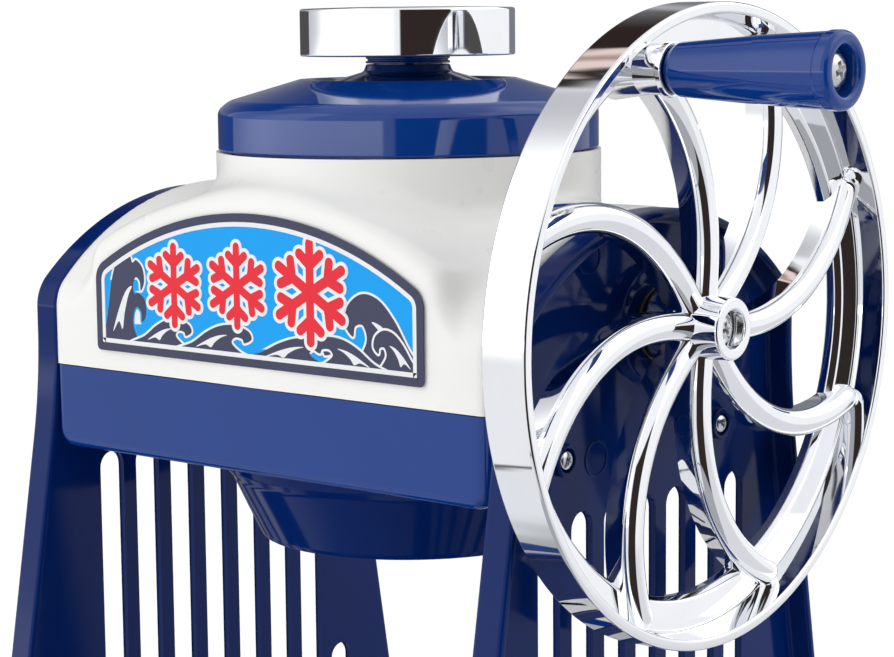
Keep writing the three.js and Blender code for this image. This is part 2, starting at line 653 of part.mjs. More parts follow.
addPart("lid", materials.blue, hopperLid(), hopperAxis);
addPart("knob", materials.chrome, knobDisc(), hopperAxis);
addPart("press_rod", materials.blue, pressRod(), hopperAxis);
addPart("press_plate", materials.white, pressPlate(), hopperAxis);
addPart("press_spring", materials.steel, pressSpring(), hopperAxis);

// ---- base ----
const feet = [];
for (const [yName, y] of [["front", -foot.y], ["rear", foot.y]]) {
  for (const [xName, x] of [["left", -foot.x], ["right", foot.x]]) {
    feet.push({ name: `foot_${yName}_${xName}`, x, y });
  }
}

function baseTray() {
  const { halfWidth, halfDepth, bottom, top, basin, basinFloor } = tray;
  const body = alongZ(roundedRectangle(halfWidth, halfDepth, 8), bottom, top);
  const seat = drip.radius + gap;
  const ledge = drip.bottom - gap;
  const bowl = [[0, basinFloor], [basin - 3, basinFloor], [basin, basinFloor + 3], [basin, ledge]];
  const well = turned([...bowl, [seat, ledge], [seat, 30], [0, 30]], 48);
  const pocketSize = [foot.radius + gap, foot.height + gap];
  const pocket = turned([[0, 0], [pocketSize[0], 0], pocketSize, [0, pocketSize[1]]], 16);
  const pockets = feet.map(({ x, y }) => moved(pocket, x, y, 0));
  return cut(body, well, ...pockets, ...screwHoles(baseScrews, 1), ...screwHoles(baseScrews, -1));
}

function dripPlate() {
  const shape = circle(0, 0, drip.radius);
  const hole = stadium(0, 5, 26, 62).getPoints();
  for (let i = 0; i < drip.slots; i++) {
    const turn = (i * 360 * degrees) / drip.slots;
    shape.holes.push(outline(hole.map((point) => point.clone().rotateAround(new THREE.Vector2(), turn))));
  }
  return alongZ(shape, drip.bottom, drip.top);
}

addPart("base_tray", materials.blue, baseTray());
addPart("drip_plate", materials.white, dripPlate());

for (const { name, x, y } of feet) {
  const { radius, height } = foot;
  const profile = [[0, 0], [radius - 1.2, 0], [radius, 1.2], [radius, height], [0, height]];
  addPart(name, materials.rubber, turned(profile, 16)).position.set(x, y, 0);
}

// The origin: on the table, under the middle of the whole machine with its wheel and grip.
machine.updateMatrixWorld(true);
const middle = new THREE.Box3().setFromObject(machine, true).getCenter(new THREE.Vector3());
machine.position.set(-middle.x, -middle.y, 0);

export default machine;
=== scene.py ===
"""The looks of a hand-cranked shaved ice machine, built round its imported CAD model.

Pieces are drawn in millimetres in the machine's own axes: +Z up from the table, +X towards the hand wheel,
-Y towards the front, with X = 0 midway between the side plates and the hopper's axis at Y = AXIS_BACK.
"""

import json
import math

import bmesh
import bpy
import numpy as np
from mathutils import Matrix, Vector
from mathutils.geometry import tessellate_polygon


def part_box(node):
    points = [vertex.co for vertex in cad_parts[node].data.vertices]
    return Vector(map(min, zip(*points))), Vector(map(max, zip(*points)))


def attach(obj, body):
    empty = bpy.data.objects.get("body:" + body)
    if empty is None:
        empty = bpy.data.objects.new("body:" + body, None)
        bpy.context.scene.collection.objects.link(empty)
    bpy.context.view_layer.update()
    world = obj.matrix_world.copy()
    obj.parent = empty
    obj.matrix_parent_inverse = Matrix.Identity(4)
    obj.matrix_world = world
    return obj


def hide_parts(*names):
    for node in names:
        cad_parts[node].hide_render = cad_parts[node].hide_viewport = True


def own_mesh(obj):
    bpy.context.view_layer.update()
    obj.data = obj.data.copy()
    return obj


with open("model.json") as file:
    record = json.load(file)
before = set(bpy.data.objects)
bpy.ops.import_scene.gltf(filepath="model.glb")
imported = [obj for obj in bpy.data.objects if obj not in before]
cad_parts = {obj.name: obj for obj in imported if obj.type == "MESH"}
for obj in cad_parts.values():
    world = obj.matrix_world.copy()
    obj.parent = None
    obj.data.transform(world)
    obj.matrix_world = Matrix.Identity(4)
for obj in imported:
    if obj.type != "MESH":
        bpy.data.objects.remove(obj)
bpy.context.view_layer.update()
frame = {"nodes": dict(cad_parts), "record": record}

# ---- the machine's own axes, from the frame ----
MM = 0.001
AXIS_BACK = 2.0  # hopper axis and crank shaft, behind the base's middle
BODY_BACK = 1.0  # middle of the housing and the side plates, behind the base's middle


def middle_of(node):
    """The middle of a CAD node's box, in millimetres in the frame."""
    low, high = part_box(node)
    return (low + high) / 2 / MM


lid_middle = middle_of("lid")
MACHINE = Vector((lid_middle.x, lid_middle.y - AXIS_BACK, 0.0))
SHAFT_HEIGHT = middle_of("crank_shaft").z
HOPPER = (0.0, AXIS_BACK, 0.0)
CRANK = (0.0, AXIS_BACK, SHAFT_HEIGHT)
GRIP = (0.0, *(middle_of("grip") - MACHINE).yz)
TO_FRAME = Matrix.Scale(MM, 4) @ Matrix.Translation(MACHINE)


def span(node):
    """Lowest and highest corner of a CAD node, in millimetres in the machine's axes."""
    low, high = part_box(node)
    return low / MM - MACHINE, high / MM - MACHINE


def nodes_named(prefix):
    """The CAD nodes whose names start with a prefix."""
    return [node for node in frame["nodes"] if node.startswith(prefix)]


# ---- outlines ----
def polar(radius, degrees):
    """The x and y of a point at a radius and an angle."""
    angle = math.radians(degrees)
    return radius * math.cos(angle), radius * math.sin(angle)


def arc(x, y, radius, start, end, step=6.0):
    """Points along an arc, with one at each end."""
    count = max(2, math.ceil(abs(end - start) / step))
    angles = [start + (end - start) * i / count for i in range(count + 1)]
    return [(x + polar(radius, a)[0], y + polar(radius, a)[1]) for a in angles]


def circle(x, y, radius, count=48):
    """Evenly spaced points round a whole circle."""
    return arc(x, y, radius, 0, 360, 360 / count)[:-1]


def rounded(corners, closed=True, step=12.0):
    """Rounds the corners of a polygon: a corner is (x, y) or (x, y, radius)."""
    points = [Vector(c[:2]) for c in corners]
    radii = [c[2] if len(c) > 2 else 0.0 for c in corners]
    count = len(points)
    made = []
    for i, (point, radius) in enumerate(zip(points, radii)):
        end = not closed and i in (0, count - 1)
        if radius <= 0 or end:
            made.append(tuple(point))
            continue
        back = points[i - 1] - point
        ahead = points[(i + 1) % count] - point
        opening = back.angle(ahead)
        reach = radius / math.tan(opening / 2)
        reach = min(reach, 0.49 * back.length, 0.49 * ahead.length)
        radius = reach * math.tan(opening / 2)
        bisector = (back.normalized() + ahead.normalized()).normalized()
        centre = point + bisector * (radius / math.sin(opening / 2))
        first = point + back.normalized() * reach - centre
        last = point + ahead.normalized() * reach - centre
        turn = first.angle_signed(last)
        parts = max(2, math.ceil(math.degrees(abs(turn)) / step))
        for k in range(parts + 1):
            made.append(tuple(centre + Matrix.Rotation(-turn * k / parts, 2) @ first))
    return made


def offset(path, distance):
    """A closed path moved inwards by distance (outwards if negative); it runs anticlockwise."""
    points = [Vector(p) for p in path]
    made = []
    for i, point in enumerate(points):
        back = (point - points[i - 1]).normalized()
        ahead = (points[(i + 1) % len(points)] - point).normalized()
        normal = Vector((-back.y - ahead.y, back.x + ahead.x))
        if normal.length < 1e-9:
            normal = Vector((-ahead.y, ahead.x))
        normal.normalize()
        stretch = max(0.35, normal.dot(Vector((-ahead.y, ahead.x))))
        made.append(tuple(point + normal * (distance / stretch)))
    return made


def stadium(x, width, low, high, count=14):
    """An upright slot with round ends."""
    radius = width / 2
    step = 180 / count
    top = arc(x, high - radius, radius, 0, 180, step)
    return top + arc(x, low + radius, radius, 180, 360, step)


def arch_top(half_width, top, radius, corner):
    """The round shoulders and arched top between two upright sides, from right to left."""
    centre = top - radius
    corner_x = half_width - corner
    corner_y = centre + math.sqrt((radius - corner) ** 2 - corner_x**2)
    turn = math.degrees(math.atan2(corner_y - centre, corner_x))
    right = arc(corner_x, corner_y, corner, 0, turn)
    crown = arc(0, centre, radius, turn, 180 - turn, 2.0)
    left = arc(-corner_x, corner_y, corner, 180 - turn, 180)
    return right[:-1] + crown + left[1:]


# ---- meshes ----
def mesh_object(name, points, faces):
    """A new object in the scene, made of points and faces."""
    mesh = bpy.data.meshes.new(name)
    mesh.from_pydata([tuple(p) for p in points], [], faces)
    mesh.validate()
    made = bpy.data.objects.new(name, mesh)
    bpy.context.scene.collection.objects.link(made)
    return made


def edited(obj, change):
    """Runs change on the object's mesh as a bmesh."""
    work = bmesh.new()
    work.from_mesh(obj.data)
    change(work)
    work.to_mesh(obj.data)
    work.free()
    return obj


def facing_out(obj):
    """Turns every face to point out of its solid."""
    return edited(obj, lambda work: bmesh.ops.recalc_face_normals(work, faces=work.faces[:]))


def lathe(name, profile, axis="Z", centre=(0, 0, 0), segments=128):
    """A profile of (radius, height) turned about an axis: closed, or with both ends on the axis."""
    open_ends = profile[0][0] < 1e-6 and profile[-1][0] < 1e-6
    points, rows = [], []
    for radius, height in profile:
        row = []
        for k in range(1 if radius < 1e-6 else segments):
            across, up = polar(radius, 360 * k / segments)
            row.append(len(points))
            points.append((across, up, height) if axis == "Z" else (height, across, up))
        rows.append(row)
    faces = []
    pairs = list(zip(rows, rows[1:]))
    if not open_ends:
        pairs.append((rows[-1], rows[0]))
    for low, high in pairs:
        for k in range(segments):
            a, b = low[k % len(low)], low[(k + 1) % len(low)]
            c, d = high[(k + 1) % len(high)], high[k % len(high)]
            face = list(dict.fromkeys((a, b, c, d)))
            if len(face) > 2:
                faces.append(face)
    made = mesh_object(name, [Vector(p) + Vector(centre) for p in points], faces)
    return facing_out(made)


def on_axis(axis, u, v, along):
    """A point of a flat outline: (u, v) lies in Y and Z, in X and Z or in X and Y."""
    return {"X": (along, u, v), "Y": (u, along, v), "Z": (u, v, along)}[axis]


def off_axis(axis, point):
    """The two flat coordinates of a point made by on_axis."""
    x, y, z = point
    return {"X": (y, z), "Y": (x, z), "Z": (x, y)}[axis]


def pressed(name, axis, outline, edge, holes=(), hole_edge=None):
    """A plate with shaped edges. An edge profile is a list of (inset, along) from one face to the other."""
    hole_edge = hole_edge or [(0.0, edge[0][1]), (0.0, edge[-1][1])]
    loops = [(outline, edge, 1)] + [(hole, hole_edge, -1) for hole in holes]
    points, faces, ends = [], [], ([], [])
    for path, profile, side in loops:
        rings = []
        for inset, along in profile:
            ring = offset(path, inset * side)
            rings.append(list(range(len(points), len(points) + len(ring))))
            points += [on_axis(axis, u, v, along) for u, v in ring]
        for low, high in zip(rings, rings[1:]):
            for k in range(len(low)):
                n = (k + 1) % len(low)
                faces.append((low[k], low[n], high[n], high[k]))
        ends[0].append(rings[0])
        ends[1].append(rings[-1])
    for cap in ends:
        flat = [[Vector((*off_axis(axis, points[i]), 0.0)) for i in ring] for ring in cap]
        order = [i for ring in cap for i in ring]
        faces += [tuple(order[i] for i in triangle) for triangle in tessellate_polygon(flat)]
    return facing_out(mesh_object(name, points, faces))


def soft_edge(low, high, radius, parts=4):
    """An edge profile with both its corners rounded."""
    made = []
    for k in range(parts + 1):
        a = math.pi / 2 * k / parts
        made.append((radius - radius * math.sin(a), low + radius - radius * math.cos(a)))
    return made + [(inset, low + high - along) for inset, along in reversed(made)]


def hollow_edge(low, high, depth, parts=3):
    """An edge profile for a hole whose wall is deepest halfway between its faces."""
    return [(depth - inset, along) for inset, along in soft_edge(low, high, depth, parts)]


def swept(name, sections):
    """A solid through sections that are already in place, each a list of the same number of points."""
    points = [p for section in sections for p in section]
    size, last = len(sections[0]), len(sections) - 1
    faces = [tuple(range(size)), tuple(range(last * size, (last + 1) * size))]
    for i in range(last):
        for k in range(size):
            n = (k + 1) % size
            faces.append((i * size + k, i * size + n, (i + 1) * size + n, (i + 1) * size + k))
    return facing_out(mesh_object(name, points, faces))


def applied(obj):
    """Bakes the object's modifiers into its mesh."""
    graph = bpy.context.evaluated_depsgraph_get()
    mesh = bpy.data.meshes.new_from_object(obj.evaluated_get(graph))
    obj.modifiers.clear()
    obj.data = mesh
    return obj


def combined(target, tools, operation):
    """Joins tools to the target, or cuts them from it, and removes them."""
    for tool in tools:
        step = target.modifiers.new("boolean", "BOOLEAN")
        step.object = tool
        step.operation = operation
        step.solver = "MANIFOLD"
    applied(target)
    for tool in tools:
        bpy.data.objects.remove(tool)
    return target


def joined(target, *others):
    """Several separate solids in one object."""
    def add(work):
        for other in others:
            work.from_mesh(other.data)
    edited(target, add)
    for other in others:
        bpy.data.objects.remove(other)
    return target


def moved(obj, matrix):
    """Moves the object's mesh, and gives the object back."""
    obj.data.transform(matrix)
    return obj


def copy_of(obj, name, matrix):
    """A moved copy with a mesh of its own."""
    made = bpy.data.objects.new(name, obj.data.copy())
    bpy.context.scene.collection.objects.link(made)
    return moved(made, matrix)


def piece(obj, body, material, nodes=(), sharp=32.0):
    """Puts a drawn piece into the frame: place, shading, material, body and the nodes it stands for."""
    obj.data.transform(TO_FRAME)
    obj.data.shade_smooth()
    obj.data.set_sharp_from_angle(angle=math.radians(sharp))
    weighted = obj.modifiers.new("weighted_normals", "WEIGHTED_NORMAL")
    weighted.keep_sharp = True
    obj.data.materials.clear()
    obj.data.materials.append(material)
    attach(obj, body)
    if nodes:
        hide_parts(*nodes)


def turned(node, body, material, profile, axis, centre, segments):
    """A lathed piece that stands for one CAD node."""
    piece(lathe(node + "_fine", profile, axis, centre, segments), body, material, [node])


# ---- materials ----
def linear(red, green, blue):
    """A colour given in 0 to 255 as the eye sees it, in linear light."""
    def channel(value):
        value /= 255
        return value / 12.92 if value <= 0.04045 else ((value + 0.055) / 1.055) ** 2.4
    return channel(red), channel(green), channel(blue)


class Nodes:
    """Short calls for the nodes of a material or a world."""

    def __init__(self, tree):
        self.tree = tree

    def feed(self, socket, value):
        """Gives a socket a value or a colour, or links another node's output to it."""
        if isinstance(value, bpy.types.NodeSocket):
            self.tree.links.new(value, socket)
        elif isinstance(value, tuple):
            socket.default_value = (*value, 1)
        else:
            socket.default_value = value

    def add(self, kind, **inputs):
        """A new node, with some of its inputs fed."""
        node = self.tree.nodes.new("ShaderNode" + kind)
        for socket, value in inputs.items():
            self.feed(node.inputs[socket.replace("_", " ")], value)
        return node

    def mixed(self, factor, first, second):
        """A colour from first to second."""
        node = self.add("Mix")
        node.data_type = "RGBA"
        for socket, value in (("Factor", factor), ("A", first), ("B", second)):
            self.feed(node.inputs[socket], value)
        return node.outputs["Result"]


class Shader(Nodes):
    """A Principled material."""

    def __init__(self, name, **values):
        self.material = bpy.data.materials.new(name)
        self.material.use_nodes = True
        super().__init__(self.material.node_tree)
        self.surface = self.tree.nodes["Principled BSDF"]
        for socket, value in values.items():
            self.set(value, socket.replace("_", " "))
        self.place = self.add("TexCoord").outputs["Object"]

    def set(self, value, socket):
        """Feeds a socket of the surface."""
        self.feed(self.surface.inputs[socket], value)

    def noise(self, size, detail=2.0, stretch=(1, 1, 1)):
        """Noise whose features are about size millimetres across."""
        scale = [1 / (size * MM) * s for s in stretch]
        place = self.add("Mapping", Vector=self.place, Scale=scale).outputs["Vector"]
        return self.add("TexNoise", Vector=place, Scale=1.0, Detail=detail).outputs["Fac"]

    def ranged(self, value, low, high, start=0.2, end=0.8):
        """Goes from low to high while the value goes from start to end."""
        node = self.add("MapRange", Value=value, From_Min=start, From_Max=end, To_Min=low, To_Max=high)
        return node.outputs["Result"]

    def bumped(self, height, distance):
        """A bump of so many millimetres."""
        node = self.add("Bump", Height=height, Distance=distance * MM, Strength=1.0)
        self.set(node.outputs["Normal"], "Normal")


def shade(colour, factor):
    """A colour made lighter or darker."""
    return tuple(c * factor for c in colour)


def plastic(name, colour, roughness, variation=0.06, ripple=0.004, level=0.5, unevenness=0.2):
    """Moulded plastic: faint flow marks in the colour, a slightly uneven gloss and a very faint ripple."""
    made = Shader(name, IOR=1.49, Specular_IOR_Level=level)
    flow = made.ranged(made.noise(38, 3), 0.0, 1.0)
    low, high = shade(colour, 1 - variation), shade(colour, 1 + variation)
    made.set(made.mixed(flow, low, high), "Base Color")
    dull, bright = roughness * (1 + unevenness), roughness * (1 - unevenness)
    made.set(made.ranged(made.noise(18, 2), bright, dull), "Roughness")
    made.bumped(made.noise(9, 1), ripple)
    return made.material


def chromed(name, tint=(0.93, 0.94, 0.96)):
    """Bright plating, with a faint haze where it has been handled."""
    made = Shader(name, Metallic=1.0)
    haze = made.ranged(made.noise(14, 4), 0.0, 1.0, 0.45, 0.75)
    made.set(made.mixed(haze, tint, shade(tint, 0.97)), "Base Color")
    made.set(made.ranged(made.noise(22, 5), 0.025, 0.06, 0.4, 0.8), "Roughness")
    made.bumped(made.noise(16, 1), 0.003)
    return made.material


def stainless(name, brush=(1, 1, 12)):
    """Brushed stainless steel: its grain is finest along one axis."""
    made = Shader(name, Metallic=1.0)
    grain = made.noise(0.9, 3, brush)
    made.set(made.mixed(grain, (0.55, 0.56, 0.57), (0.78, 0.79, 0.8)), "Base Color")
    made.set(made.ranged(grain, 0.16, 0.32), "Roughness")
    made.bumped(grain, 0.01)
    return made.material


def printed(name, colour):
    """Ink under a satin film."""
    made = Shader(name, IOR=1.45, Specular_IOR_Level=0.2)
    made.set(made.mixed(made.noise(24, 3), shade(colour, 0.96), shade(colour, 1.04)), "Base Color")
    made.set(made.ranged(made.noise(1.2, 2), 0.3, 0.42), "Roughness")
    made.bumped(made.noise(0.6, 2), 0.002)
    return made.material


def see_through(name):
    """Clear moulded plastic with a cool tint."""
    made = Shader(name, IOR=1.49, Transmission_Weight=0.9)
    made.set(made.mixed(made.noise(30, 3), (0.86, 0.91, 0.95), (0.92, 0.95, 0.98)), "Base Color")
    made.set(made.ranged(made.noise(6, 3), 0.04, 0.12), "Roughness")
    return made.material


def rubbery(name):
    """Dull black rubber with a fine grain."""
    made = Shader(name)
    made.set(made.mixed(made.noise(8, 4), (0.012, 0.012, 0.013), (0.03, 0.03, 0.032)), "Base Color")
    made.set(made.ranged(made.noise(2, 3), 0.6, 0.85), "Roughness")
    made.bumped(made.noise(0.8, 3), 0.03)
    return made.material


BLUE = plastic("blue_gloss", linear(6, 54, 130), 0.07)
# The same blue plastic with a darker base colour and weaker gloss. The darker base colour is painted shade
# for the side plates and the chute.
PAINTED_SHADE_BLUE = plastic("blue_gloss_painted_shade", linear(3, 34, 96), 0.1, level=0.14)
WHITE = plastic("white_gloss", linear(239, 238, 235), 0.28, 0.01, 0.0015, 0.45, 0.04)
CHROME = chromed("chrome_plate")
STEEL = stainless("bright_steel")
DARK_NYLON = plastic("dark_nylon", linear(38, 40, 46), 0.35)
NYLON = plastic("natural_nylon", linear(226, 222, 208), 0.45, 0.05, 0.02)
CLEAR = see_through("clear_plastic")
RUBBER = rubbery("black_rubber")
INK = {
    "slate": printed("ink_slate", linear(66, 68, 92)),
    "white": printed("ink_white", linear(232, 233, 234)),
    "sky": printed("ink_sky", linear(2, 158, 236)),
    "red": printed("ink_red", linear(228, 42, 56)),
}
SLOT_MATERIAL = {
    "blue_plastic": BLUE,
    "white_plastic": WHITE,
    "chrome": CHROME,
    "label": INK["sky"],
    "steel": STEEL,
    "nylon": NYLON,
    "clear": CLEAR,
    "rubber": RUBBER,
}


def dress_cad_nodes():
    """Every CAD node gets the material of its slot; most are then replaced by finer pieces."""
    for row in frame["record"]["subparts"]:
        node = frame["nodes"][row["node"]]
        node.data.materials.clear()
        node.data.materials.append(SLOT_MATERIAL[row["material_slot"]])


# ---- screws ----
PLATE_SCREW_HEAD = 1.8


def phillips_screw(name, head, height, shank, length, recess):
    """A pan-head screw along +X, with the underside of its head at X = 0."""
    profile = rounded([(0, height), (head * 0.55, height), (head, height * 0.55, head * 0.4),
                       (head, 0, 0.15)], False)
    profile += [(head - 0.2, 0), (shank, 0), (shank, 0.6 - length), (shank * 0.4, -length), (0, -length)]
    screw = lathe(name, profile, "X", segments=40)
    mouth, floor = height + 1, -height * 0.1
    slit = recess * 0.3
    wedge = [(mouth, recess, slit), (mouth, -recess, slit), (floor, -recess * 0.35, slit * 0.6),
             (floor, recess * 0.35, slit * 0.6)]
    points = [(x, y, z * side) for side in (-1, 1) for x, y, z in wedge]
    faces = [(0, 1, 2, 3), (7, 6, 5, 4), (0, 4, 5, 1), (1, 5, 6, 2), (2, 6, 7, 3), (3, 7, 4, 0)]
    cutters = []
    for turn in (20, 110):
        cutter = facing_out(mesh_object("recess", points, faces))
        cutters.append(moved(cutter, Matrix.Rotation(math.radians(turn), 4, "X")))
    return combined(screw, cutters, "DIFFERENCE")


def plate_screws():
    """The eight screws through the side plates, each turned to another angle."""
    master = phillips_screw("plate_screw", 2.9, PLATE_SCREW_HEAD, 1.5, 11.0, 1.6)
    for i, node in enumerate(sorted(nodes_named("screw_"))):
        low, high = span(node)
        middle = (low + high) / 2
        if "_right_" in node:
            place = Matrix.Translation((high.x - PLATE_SCREW_HEAD, middle.y, middle.z))
        else:
            place = Matrix.Translation((low.x + PLATE_SCREW_HEAD, middle.y, middle.z))
            place = place @ Matrix.Rotation(math.pi, 4, "Z")
        made = copy_of(master, node + "_fine", place @ Matrix.Rotation(math.radians(37 * i), 4, "X"))
        piece(made, "frame", STEEL, [node])
    bpy.data.objects.remove(master)


# ---- side plates ----
PLATE_INNER, PLATE_OUTER, PLATE_WEB = 91.7, 102.0, 2.6
PLATE_HALF_DEPTH, PLATE_BOTTOM, PLATE_TOP = 70.5, 4.0, 304.4
PLATE_ARCH, PLATE_CORNER = 96.0, 14.0
FLARE_TOP, FLARE_WIDEN, FLARE_SLOPE, FLARE_STRAIGHT = 225.0, 3.1, 0.172, 261.0
SLOT_WIDTH, SLOT_PITCH, SLOT_BOTTOM, SLOT_TOP, SLOT_SHORT = 10.4, 16.0, 48.0, 217.5, 128.0
HOUSING_SCREWS = [(-40.0, 234.0), (40.0, 234.0)]
BASE_SCREWS = [(-80.0, 13.0), (80.0, 13.0)]
EJECTOR_MARKS = [(-27.4, 292.0), (-24.2, 232.2)]


def plate_outline():
    """The plate in Y and Z: flared legs, straight upper sides and an arched top, anticlockwise."""
    flare = PLATE_HALF_DEPTH + FLARE_WIDEN
    drop = FLARE_TOP - PLATE_BOTTOM
    foot = flare + drop * FLARE_SLOPE
    start, end = Vector((flare, FLARE_TOP)), Vector((PLATE_HALF_DEPTH, FLARE_STRAIGHT))
    bend = Vector((PLATE_HALF_DEPTH, FLARE_TOP + FLARE_WIDEN / FLARE_SLOPE))
    curve = []
    for k in range(13):
        t = k / 12
        curve.append(tuple(start * (1 - t) ** 2 + bend * 2 * t * (1 - t) + end * t * t))
    corner = rounded([(foot - 12, PLATE_BOTTOM), (foot, PLATE_BOTTOM, 3.0), curve[0]], False)[1:-1]
    straight = [(foot + (flare - foot) * k / 10, PLATE_BOTTOM + drop * k / 10) for k in range(1, 10)]
    right = corner + straight + curve
    left = [(-u, v) for u, v in reversed(right)]
    top = arch_top(PLATE_HALF_DEPTH, PLATE_TOP, PLATE_ARCH, PLATE_CORNER)
    return [(u + BODY_BACK, v) for u, v in right + top + left]


def plate_slots():
    """Nine upright slots, the outermost two short."""
    made = []
    for i in range(-4, 5):
        top = SLOT_SHORT if abs(i) == 4 else SLOT_TOP
        made.append(stadium(BODY_BACK + i * SLOT_PITCH, SLOT_WIDTH, SLOT_BOTTOM, top))
    return made


def side_plate(side):
    """side is 1 for the plate under the hand wheel and -1 for the other."""
    web = PLATE_INNER + PLATE_WEB
    rim = rounded([(7.0, PLATE_INNER), (0.0, PLATE_INNER, 1.6), (0.0, PLATE_OUTER, 1.4),
                   (3.0, PLATE_OUTER, 1.1), (3.6, web, 1.6), (7.0, web)], False)
    holes = plate_slots()
    if side > 0:
        holes.append(circle(AXIS_BACK, SHAFT_HEIGHT, 9.0))
    name = "side_plate_right" if side > 0 else "side_plate_left"
    plate = pressed(name + "_fine", "X", plate_outline(), rim, holes, hollow_edge(PLATE_INNER, web, 0.5))
    bore = 9.3 if side > 0 else 3.0
    boss = rounded([(bore, web - 0.6), (19.2, web - 0.6), (17.6, web + 3.4, 1.0), (bore, web + 3.4, 0.5)])
    extras = [lathe("boss", boss, "X", CRANK, 96)]
    for y, z in HOUSING_SCREWS + BASE_SCREWS:
        ring = rounded([(3.5, web - 0.5), (5.0, web - 0.5), (4.9, web + 1.7, 0.4), (3.6, web + 1.7, 0.3)])
        extras.append(lathe("screw_seat", ring, "X", (0, y, z), 48))
    for y, z in EJECTOR_MARKS:
        mark = rounded([(4.6, web - 0.3), (5.7, web - 0.3), (5.5, web + 0.35, 0.2), (4.8, web + 0.35, 0.2)])
        extras.append(lathe("ejector_mark", mark, "X", (0, y, z), 48))
    joined(plate, *extras)
    if side < 0:
        moved(plate, Matrix.Scale(-1, 4, (1, 0, 0)))
        facing_out(plate)
    # painted shade: the plates use a darker copy of the blue gloss
    piece(plate, "frame", PAINTED_SHADE_BLUE, [name])


# ---- housing ----
HOUSING_HALF_WIDTH, HOUSING_HALF_DEPTH, HOUSING_BOTTOM, HOUSING_SPLIT = 91.2, 72.0, 222.9, 250.3
HOUSING_TOP, HOUSING_ARCH, HOUSING_CORNER, WALL = 304.6, 96.3, 12.0, 2.6
HOUSING_FRONT = BODY_BACK - HOUSING_HALF_DEPTH
PANEL_HALF_WIDTH, PANEL_TOP, PANEL_ARCH, PANEL_CORNER = 75.0, 309.7, 150.0, 10.0
HOPPER_RADIUS, HOPPER_TOP = 61.9, 319.4
NECK_BLEND, NECK_FRONT_BLEND = 6.0, 16.0
END_RISE, END_RISE_WIDTH = 1.8, 30.0  # how much the crown stands higher away from the wheel
NET_LOW, NET_HIGH, NET_CELL = (-96, -78, 240), (96, 80, 326), 1.6  # the space round the upper housing


def smooth_least(a, b, width):
    """The lesser of two fields, blended where they are within width of each other."""
    blend = np.maximum(width - np.abs(a - b), 0) / width
    return np.minimum(a, b) - blend * blend * width / 4


def smooth_most(a, b, width):
    """The greater of two fields, blended in the same way."""
    return -smooth_least(-a, -b, width)


def eased(value):
    """0 below 0, 1 above 1, and smooth between."""
    value = np.clip(value, 0, 1)
    return value * value * (3 - 2 * value)


def arch_field(u, v, half_width, top, radius, corner):
    """Distance to the outline made by arch_top with straight sides below it."""
    u = np.abs(u)
    centre = top - radius
    corner_u = half_width - corner
    corner_v = centre + math.sqrt((radius - corner) ** 2 - corner_u**2)
    du, dv = u - corner_u, v - corner_v
    in_corner = (dv > 0) & (du * (corner_v - centre) > dv * corner_u)
    plain = np.maximum(u - half_width, np.hypot(u, v - centre) - radius)
    return np.where(in_corner, np.hypot(du, dv) - corner, plain)


def housing_field(p):
    """About the distance to the upper housing's outside: a side arch, a raised front panel and a neck."""
    x, y, z = p[..., 0], p[..., 1], p[..., 2]
    end = eased((END_RISE_WIDTH - HOUSING_HALF_WIDTH - x) / END_RISE_WIDTH)
    raised = END_RISE * end * eased((z - HOUSING_SPLIT) / 30)
    arch = arch_field(y - BODY_BACK, z - raised, HOUSING_HALF_DEPTH, HOUSING_TOP, HOUSING_ARCH,
                      HOUSING_CORNER)
    body = smooth_most(arch, np.abs(x) - HOUSING_HALF_WIDTH, 3)
    panel = arch_field(x, z, PANEL_HALF_WIDTH, PANEL_TOP, PANEL_ARCH, PANEL_CORNER)
    block = smooth_most(smooth_most(panel, HOUSING_FRONT - y, 6.5), y - AXIS_BACK, 4)
    flush = np.maximum(smooth_least(body, block, 8), HOUSING_FRONT - y)
    neck = np.hypot(x, y - AXIS_BACK) - HOPPER_RADIUS
    frontness = eased(((AXIS_BACK - y) / HOPPER_RADIUS - 0.6) / 0.4)
    blend = NECK_BLEND + (NECK_FRONT_BLEND - NECK_BLEND) * frontness
    return np.maximum(smooth_least(flush, neck, blend), HOUSING_BOTTOM - z)


def surface_net(field, low, high, cell):
    """Quads on the zero surface of a field, each corner moved onto it exactly."""
    counts = [int(math.ceil((h - l) / cell)) + 1 for l, h in zip(low, high)]
    axes = [l + cell * np.arange(n) for l, n in zip(low, counts)]
    grid = np.stack(np.meshgrid(*axes, indexing="ij"), -1)
    value = field(grid)
    inside = value < 0
    cells = tuple(n - 1 for n in counts)
    total, number = np.zeros(cells + (3,)), np.zeros(cells)
    crossings = []
    for axis in range(3):
        shape = [slice(None)] * 3
        ahead = list(shape)
        shape[axis], ahead[axis] = slice(0, -1), slice(1, None)
        v0, v1 = value[tuple(shape)], value[tuple(ahead)]
        crossed = inside[tuple(shape)] != inside[tuple(ahead)]
        share = np.where(crossed, v0 / np.where(crossed, v0 - v1, 1), 0)
        point = grid[tuple(shape)].copy()
        point[..., axis] += share * cell
        crossings.append(crossed)
        others = [a for a in range(3) if a != axis]
        for i in (0, 1):
            for j in (0, 1):
                take = [slice(None)] * 3
                take[others[0]] = slice(i, i + cells[others[0]])
                take[others[1]] = slice(j, j + cells[others[1]])
                total += point[tuple(take)] * crossed[tuple(take)][..., None]
                number += crossed[tuple(take)]
    used = number > 0
    index = np.full(cells, -1)
    index[used] = np.arange(used.sum())
    points = total[used] / number[used][:, None]
    faces = []
    for axis in range(3):
        u, v = [a for a in range(3) if a != axis]
        where = np.argwhere(crossings[axis])
        where = where[(where[:, u] > 0) & (where[:, v] > 0)]
        where = where[(where[:, u] < cells[u]) & (where[:, v] < cells[v])]
        corners = []
        for du, dv in ((0, 0), (1, 0), (1, 1), (0, 1)):
            at = where.copy()
            at[:, u] -= du
            at[:, v] -= dv
            corners.append(index[at[:, 0], at[:, 1], at[:, 2]])
        faces.append(np.stack(corners, -1))
    faces = np.concatenate(faces)
    return settled(points, faces, field, cell), faces.tolist()


